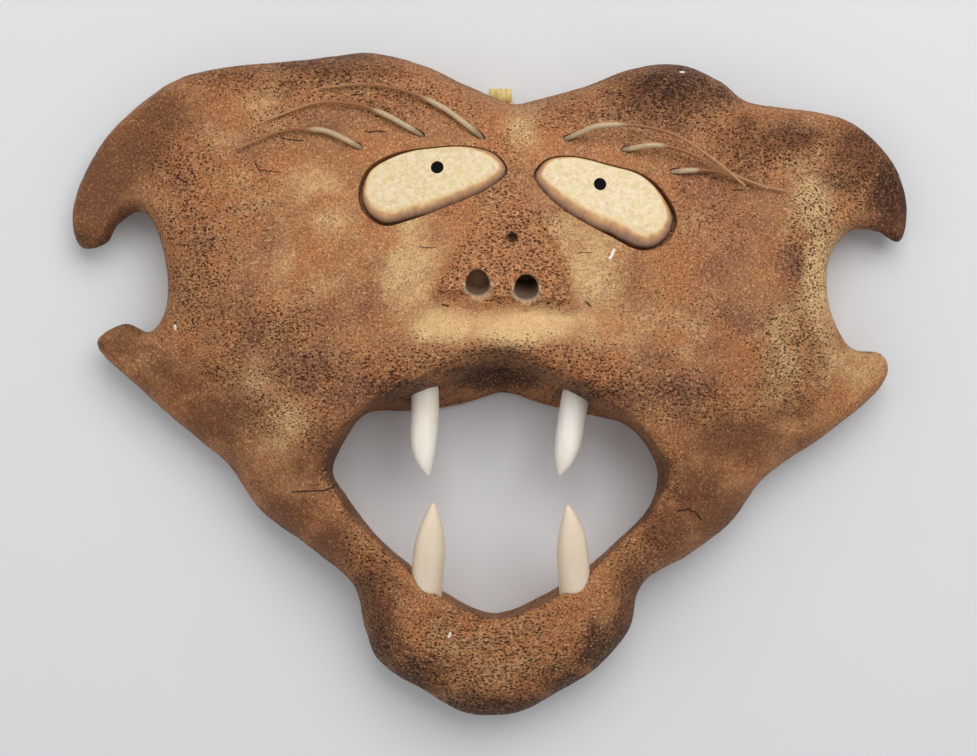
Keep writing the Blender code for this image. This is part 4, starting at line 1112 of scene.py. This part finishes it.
def paint_bone(bone):
    points = vertex_values(bone, "co").astype(float)
    facing = vertex_values(bone, "normal")[:, 2]
    count = len(points)
    plan = points[:, :2]
    near = (np.abs(plan - NOSE_LOOP.mean(axis=0)) < 0.05).all(axis=1) & (facing > 0)
    nose = np.zeros(count)
    away = distance_to(NOSE_LOOP, plan[near])
    side = np.where(inside(NOSE_LOOP, plan[near]), 1, -1)
    nose[near] = smooth_step(0.5 + side * away / NOSE_BLUR)
    nose *= smooth_step((place((0, NOSE_FADE_TOP))[1] - points[:, 1]) / NOSE_FADE_LENGTH)

    rim = np.zeros(count)
    bore = np.zeros(count)
    for share, _ in NOSTRILS.values():
        mouth, inwards = nostril_line(share)
        from_mouth = points - np.array(mouth)
        deep = from_mouth @ np.array(inwards)
        beside = np.linalg.norm(from_mouth - deep[:, None] * np.array(inwards), axis=1)
        edge = NOSTRIL_DIAMETER / 2
        # the rim's pale colour is the cut bone's own; its lower side is made stronger as painted light
        low = smooth_step(0.75 - from_mouth[:, 1] / edge)
        ring = smooth_step((edge + 1.25 * NOSTRIL_RIM - beside) / RIM_BLUR) * (beside > edge - 0.0002)
        rim = np.maximum(rim, ring * (0.3 + 0.7 * low) * (deep < 2 * NOSTRIL_RIM) * (facing > 0.2))
        # the bore mask marks the nostrils' walls for their painted shade
        bore = np.maximum(bore, (beside < edge + 0.0004) * (deep > 0.9 * NOSTRIL_RIM))
    from_pit = np.linalg.norm(plan - place(NOSE_PIT), axis=1)
    pit = smooth_step(1.6 - from_pit / PIT_STAIN) * (facing > 0)

    feet = np.zeros(count)
    for row in WHISKERS.values():
        from_hole = np.linalg.norm(plan - place(row[0][0]), axis=1)
        feet = np.maximum(feet, 0.45 * smooth_step(1.6 - from_hole / FOOT_STAIN) * (facing > 0))

    pores = patches(POROUS, points)
    wall = (facing < 0.35) & (points[:, 2] > 0.004)
    for porous in (0.8 * wall, 0.9 * (facing < -0.35), 0.8 * nose):
        pores = np.maximum(pores, porous)
    pores *= 1 - np.maximum(rim, bore)
    float_attribute(bone, "pores", pores)
    float_attribute(bone, "nose", nose)
    float_attribute(bone, "rim", rim)
    float_attribute(bone, "bore", 0.85 * bore)
    for name, rows in (("pale", PALE), ("mauve", MAUVE), ("brown", BROWN), ("smooth", SMOOTH)):
        float_attribute(bone, name, patches(rows, points))
    float_attribute(bone, "dark", np.maximum(patches(DARK_AND_SHADE, points), np.maximum(pit, feet)))


def fang_line(root, tip, bow, diameter, fullness, parts=(0.15, 0.35, 0.52, 0.68, 0.81, 0.91, 0.97, 1.0)):
    root, tip = solid_place(root), solid_place(tip)
    side = (tip - root).cross(Vector((0, 0, 1))).normalized()
    side *= 1 if side.x > 0 else -1
    middles = [root]
    radii = [diameter / 2]
    for t in parts:
        middles.append(root.lerp(tip, t) + side * bow * math.sin(math.pi * t**1.5))
        radii.append(FANG_TIP_DIAMETER / 2 + (diameter - FANG_TIP_DIAMETER) / 2 * (1 - t**fullness))
    inwards = (middles[0] - middles[1]).normalized()
    return middles, radii, root + inwards * FANG_STRAIGHT_LENGTH


def solid_place(shares):
    x, y = place(shares[:2])
    return Vector((x, y, shares[2] / 100 * MASK_DEPTH))


def make_fangs(material):
    fine = tuple(1 - (1 - k / 36) ** 1.5 for k in range(1, 37))
    for name, tooth in FANGS.items():
        middles, radii, end = fang_line(*tooth, parts=fine)
        middles = [end, end.lerp(middles[0], 0.5)] + middles
        radii = [tooth[3] / 2] * 2 + radii
        piece = rod(name.replace("fang", "tooth"), middles, radii, 36, material, 60)
        float_attribute(piece, "warm", np.full(len(piece.data.vertices), float("lower" in name)))
        finish_piece(piece, "fang_ivory", name)


def open_curve(points, parts):
    """Samples of a smooth open curve through the points."""
    points = np.asarray(points, float)
    padded = np.concatenate([[2 * points[0] - points[1]], points, [2 * points[-1] - points[-2]]])
    samples = []
    for before, start, end, after in zip(padded, padded[1:], padded[2:], padded[3:]):
        for k in range(parts):
            t = k / parts
            bend = 2 * before - 5 * start + 4 * end - after
            twist = -before + 3 * start - 3 * end + after
            samples.append(start + 0.5 * (t * (end - before) + t**2 * bend + t**3 * twist))
    samples.append(points[-1])
    return np.array(samples)


def whisker_line(shares, top, parts=3):
    route = open_curve(place(shares), parts)
    along = np.concatenate([[0], np.cumsum(np.linalg.norm(np.diff(route, axis=0), axis=1))])
    height = broad_front(route)
    straight = top / math.tan(WHISKER_SLOPE)
    rise = np.interp(along, [0, straight, 0.5 * along[-1], along[-1]], [0, top, top, top - WHISKER_SETTLE])
    keep = (along == 0) | (along >= straight)
    middles = [Vector(p) for p in np.column_stack([route, height + rise])[keep]]
    share = along[keep] / along[-1]
    inwards = (middles[0] - middles[1]).normalized()
    return middles, share, middles[0] + inwards * WHISKER_ROOT_LENGTH


def whisker_radii(share, foot):
    """Half the thickness along a whisker, which steps down at the end of its stout foot."""
    stout = 1 - smooth_step((share - foot) / WHISKER_STEP_SHARE + 0.5)
    thin = WHISKER_THIN_DIAMETER + (WHISKER_TIP_DIAMETER - WHISKER_THIN_DIAMETER) * share
    return (thin + (WHISKER_DIAMETER - thin) * stout) / 2


def make_whiskers(material):
    for name, (shares, top, foot) in WHISKERS.items():
        middles, share, end = whisker_line(shares, top, 12)
        radii = [WHISKER_DIAMETER / 2, *whisker_radii(share, foot)]
        sides = 12
        piece = rod(name.replace("whisker", "brow"), [end] + middles, radii, sides, material, 60)
        float_attribute(piece, "along", np.repeat(np.concatenate([[0], share]) / foot, sides))
        finish_piece(piece, "whisker", name)


def make_eyes(ivory, black):
    for name, (shares, pupil_share, bevel, bark_towards, outwards) in EYES.items():
        pocket = smooth_loop(place(shares), parts=12)
        plane = EyePlane(pocket)
        direction = pocket - pocket.mean(axis=0)
        angle = np.arctan2(direction[:, 1], direction[:, 0])
        slab = inset(pocket, INLAY_CLEARANCE + EYE_GAP * smooth_step(np.cos(angle - outwards)))
        share = smooth_step((np.cos(angle - bark_towards) - EYE_BEVEL_START) / EYE_BEVEL_SPAN)
        width = EYE_RIM + (bevel - EYE_RIM) * share
        drop = EYE_RIM + (EYE_BEVEL_DROP - EYE_RIM) * share
        floor = -(EYE_POCKET_DEPTH + EYE_PROUD)
        loops = [plane.lift(slab, floor + INLAY_CLEARANCE), plane.lift(slab, -drop)]
        bark = [share * 0 + 1, share * 0 + 1]
        for k in range(1, BARK_STEPS + 1):
            turn = math.pi / 2 * k / BARK_STEPS
            row = inset(slab, width * (1 - math.cos(turn)))
            loops.append(plane.lift(row, -drop * (1 - math.sin(turn))))
            bark.append(np.full(len(slab), 1 - k / BARK_STEPS))
        loops.append(plane.lift(inset(slab, width + FACE_MARGIN), 0.0))
        bark.append(share * 0)
        piece = stacked_loops(name.replace("eye", "ivory"), loops, ivory, 60)
        # the bark's deep end is also where the eye material paints shade by the pocket's wall
        strength = np.tile(np.clip(0.25 + share * 1.5, 0, 1), len(loops))
        float_attribute(piece, "bark", np.concatenate(bark) * strength)
        around = np.zeros((len(loops) * len(slab), 3), np.float32)
        around[:, 0] = np.tile(np.arange(len(slab)) * SEAM_STEP, len(loops))
        seam = piece.data.attributes.new("around", "FLOAT_VECTOR", "POINT")
        seam.data.foreach_set("vector", around.ravel())
        seat = place(pupil_share)
        centre = Vector(plane.lift(seat[None], 0.0)[0])
        ends = (centre - plane.normal * PUPIL_LENGTH, centre + plane.normal * PUPIL_PROUD)
        plug = rod(name.replace("eye", "plug"), ends, [PUPIL_DIAMETER / 2] * 2, 40, black)
        finish_piece(plug, "baleen", name.replace("eye", "pupil"))
        bore_radius = PUPIL_DIAMETER / 2 + INLAY_CLEARANCE
        ends = (ends[0] - plane.normal * INLAY_CLEARANCE, centre + plane.normal * PUPIL_DIAMETER)
        cut_all(piece, [rod(name + "_bore", ends, [bore_radius] * 2, 40)])
        finish_piece(piece, "eye_ivory", name)


def make_loop(material):
    x, y = place(LOOP_PLACE)
    inner = LOOP_INNER_DIAMETER / 2
    middle_line = inner + LOOP_THICKNESS / 2
    neck_half = LOOP_THICKNESS / 2 + INLAY_CLEARANCE
    centre_y = LOOP_NECK + inner
    line = [(-LOOP_ROOT_LENGTH, neck_half), (0.0, neck_half), (LOOP_NECK_STRAIGHT, neck_half)]
    for turn in np.linspace(LOOP_TURN_START, math.radians(90), 24):
        line.append((centre_y + middle_line * math.sin(turn), middle_line * math.cos(turn)))
    line += [(a, -b) for a, b in reversed(line[:-1])]
    line = np.array(line)
    tangent = np.gradient(line, axis=0)
    normal = np.column_stack([-tangent[:, 1], tangent[:, 0]])
    normal /= np.linalg.norm(normal, axis=1)[:, None]
    half = LOOP_WIDTH / 2
    flat, side = half - LOOP_CORNER, LOOP_SIDE_SHARE
    section = [(-half, -side), (-flat, -1), (flat, -1), (half, -side)]
    section += [(-across, -out) for across, out in section]
    loops = []
    for (a, b), (na, nb) in zip(line, normal * LOOP_THICKNESS / 2):
        row = [(x + across, y + a + na * out, LOOP_HEIGHT + b + nb * out) for across, out in section]
        loops.append(np.array(row))
    piece = stacked_loops("rawhide_loop", loops, material, 60)
    finish_piece(piece, "rawhide", "hanging_loop")


def make_stage():
    camera_data = bpy.data.cameras.new("camera")
    camera_data.sensor_width = SENSOR_WIDTH
    camera_data.lens = FOCAL_PIXELS / IMAGE_WIDTH * SENSOR_WIDTH
    camera = linked("camera", camera_data)
    camera.location = (CAMERA_X, CAMERA_Y, CAMERA_HEIGHT)
    bpy.context.scene.camera = camera

    corners = [(TABLE_HALF * x, TABLE_HALF * y, 0) for x, y in ((-1, -1), (1, -1), (1, 1), (-1, 1))]
    table = mesh_object("table", corners, [(0, 1, 2, 3)], table_material())
    table.location.z = -TABLE_GAP

    area_light("sky_light", (0.28, 0.66, 1.15), (0, 0.05, 0), 1.3, 0.9, 12)
    area_light("side_light", (-1.1, 0.1, 0.9), (0, 0, 0), 1.0, 1.0, 2.5)
    world = bpy.data.worlds.new("room")
    world.use_nodes = True
    world.node_tree.nodes["Background"].inputs["Color"].default_value = (0.95, 0.97, 1.0, 1)
    world.node_tree.nodes["Background"].inputs["Strength"].default_value = 0.46
    bpy.context.scene.world = world
    bpy.context.scene.view_settings.view_transform = "Standard"


def area_light(name, where, towards, width, depth, power):
    data = bpy.data.lights.new(name, "AREA")
    data.shape = "RECTANGLE"
    data.size = width
    data.size_y = depth
    data.energy = power
    light = linked(name, data)
    light.location = where
    light.rotation_euler = (Vector(towards) - Vector(where)).to_track_quat("-Z", "Y").to_euler()


def build():
    make_stage()
    make_bone(bone_material())
    make_eyes(eye_material(), baleen_material())
    make_fangs(fang_material())
    make_whiskers(whisker_material())
    make_loop(hide_material())


build()
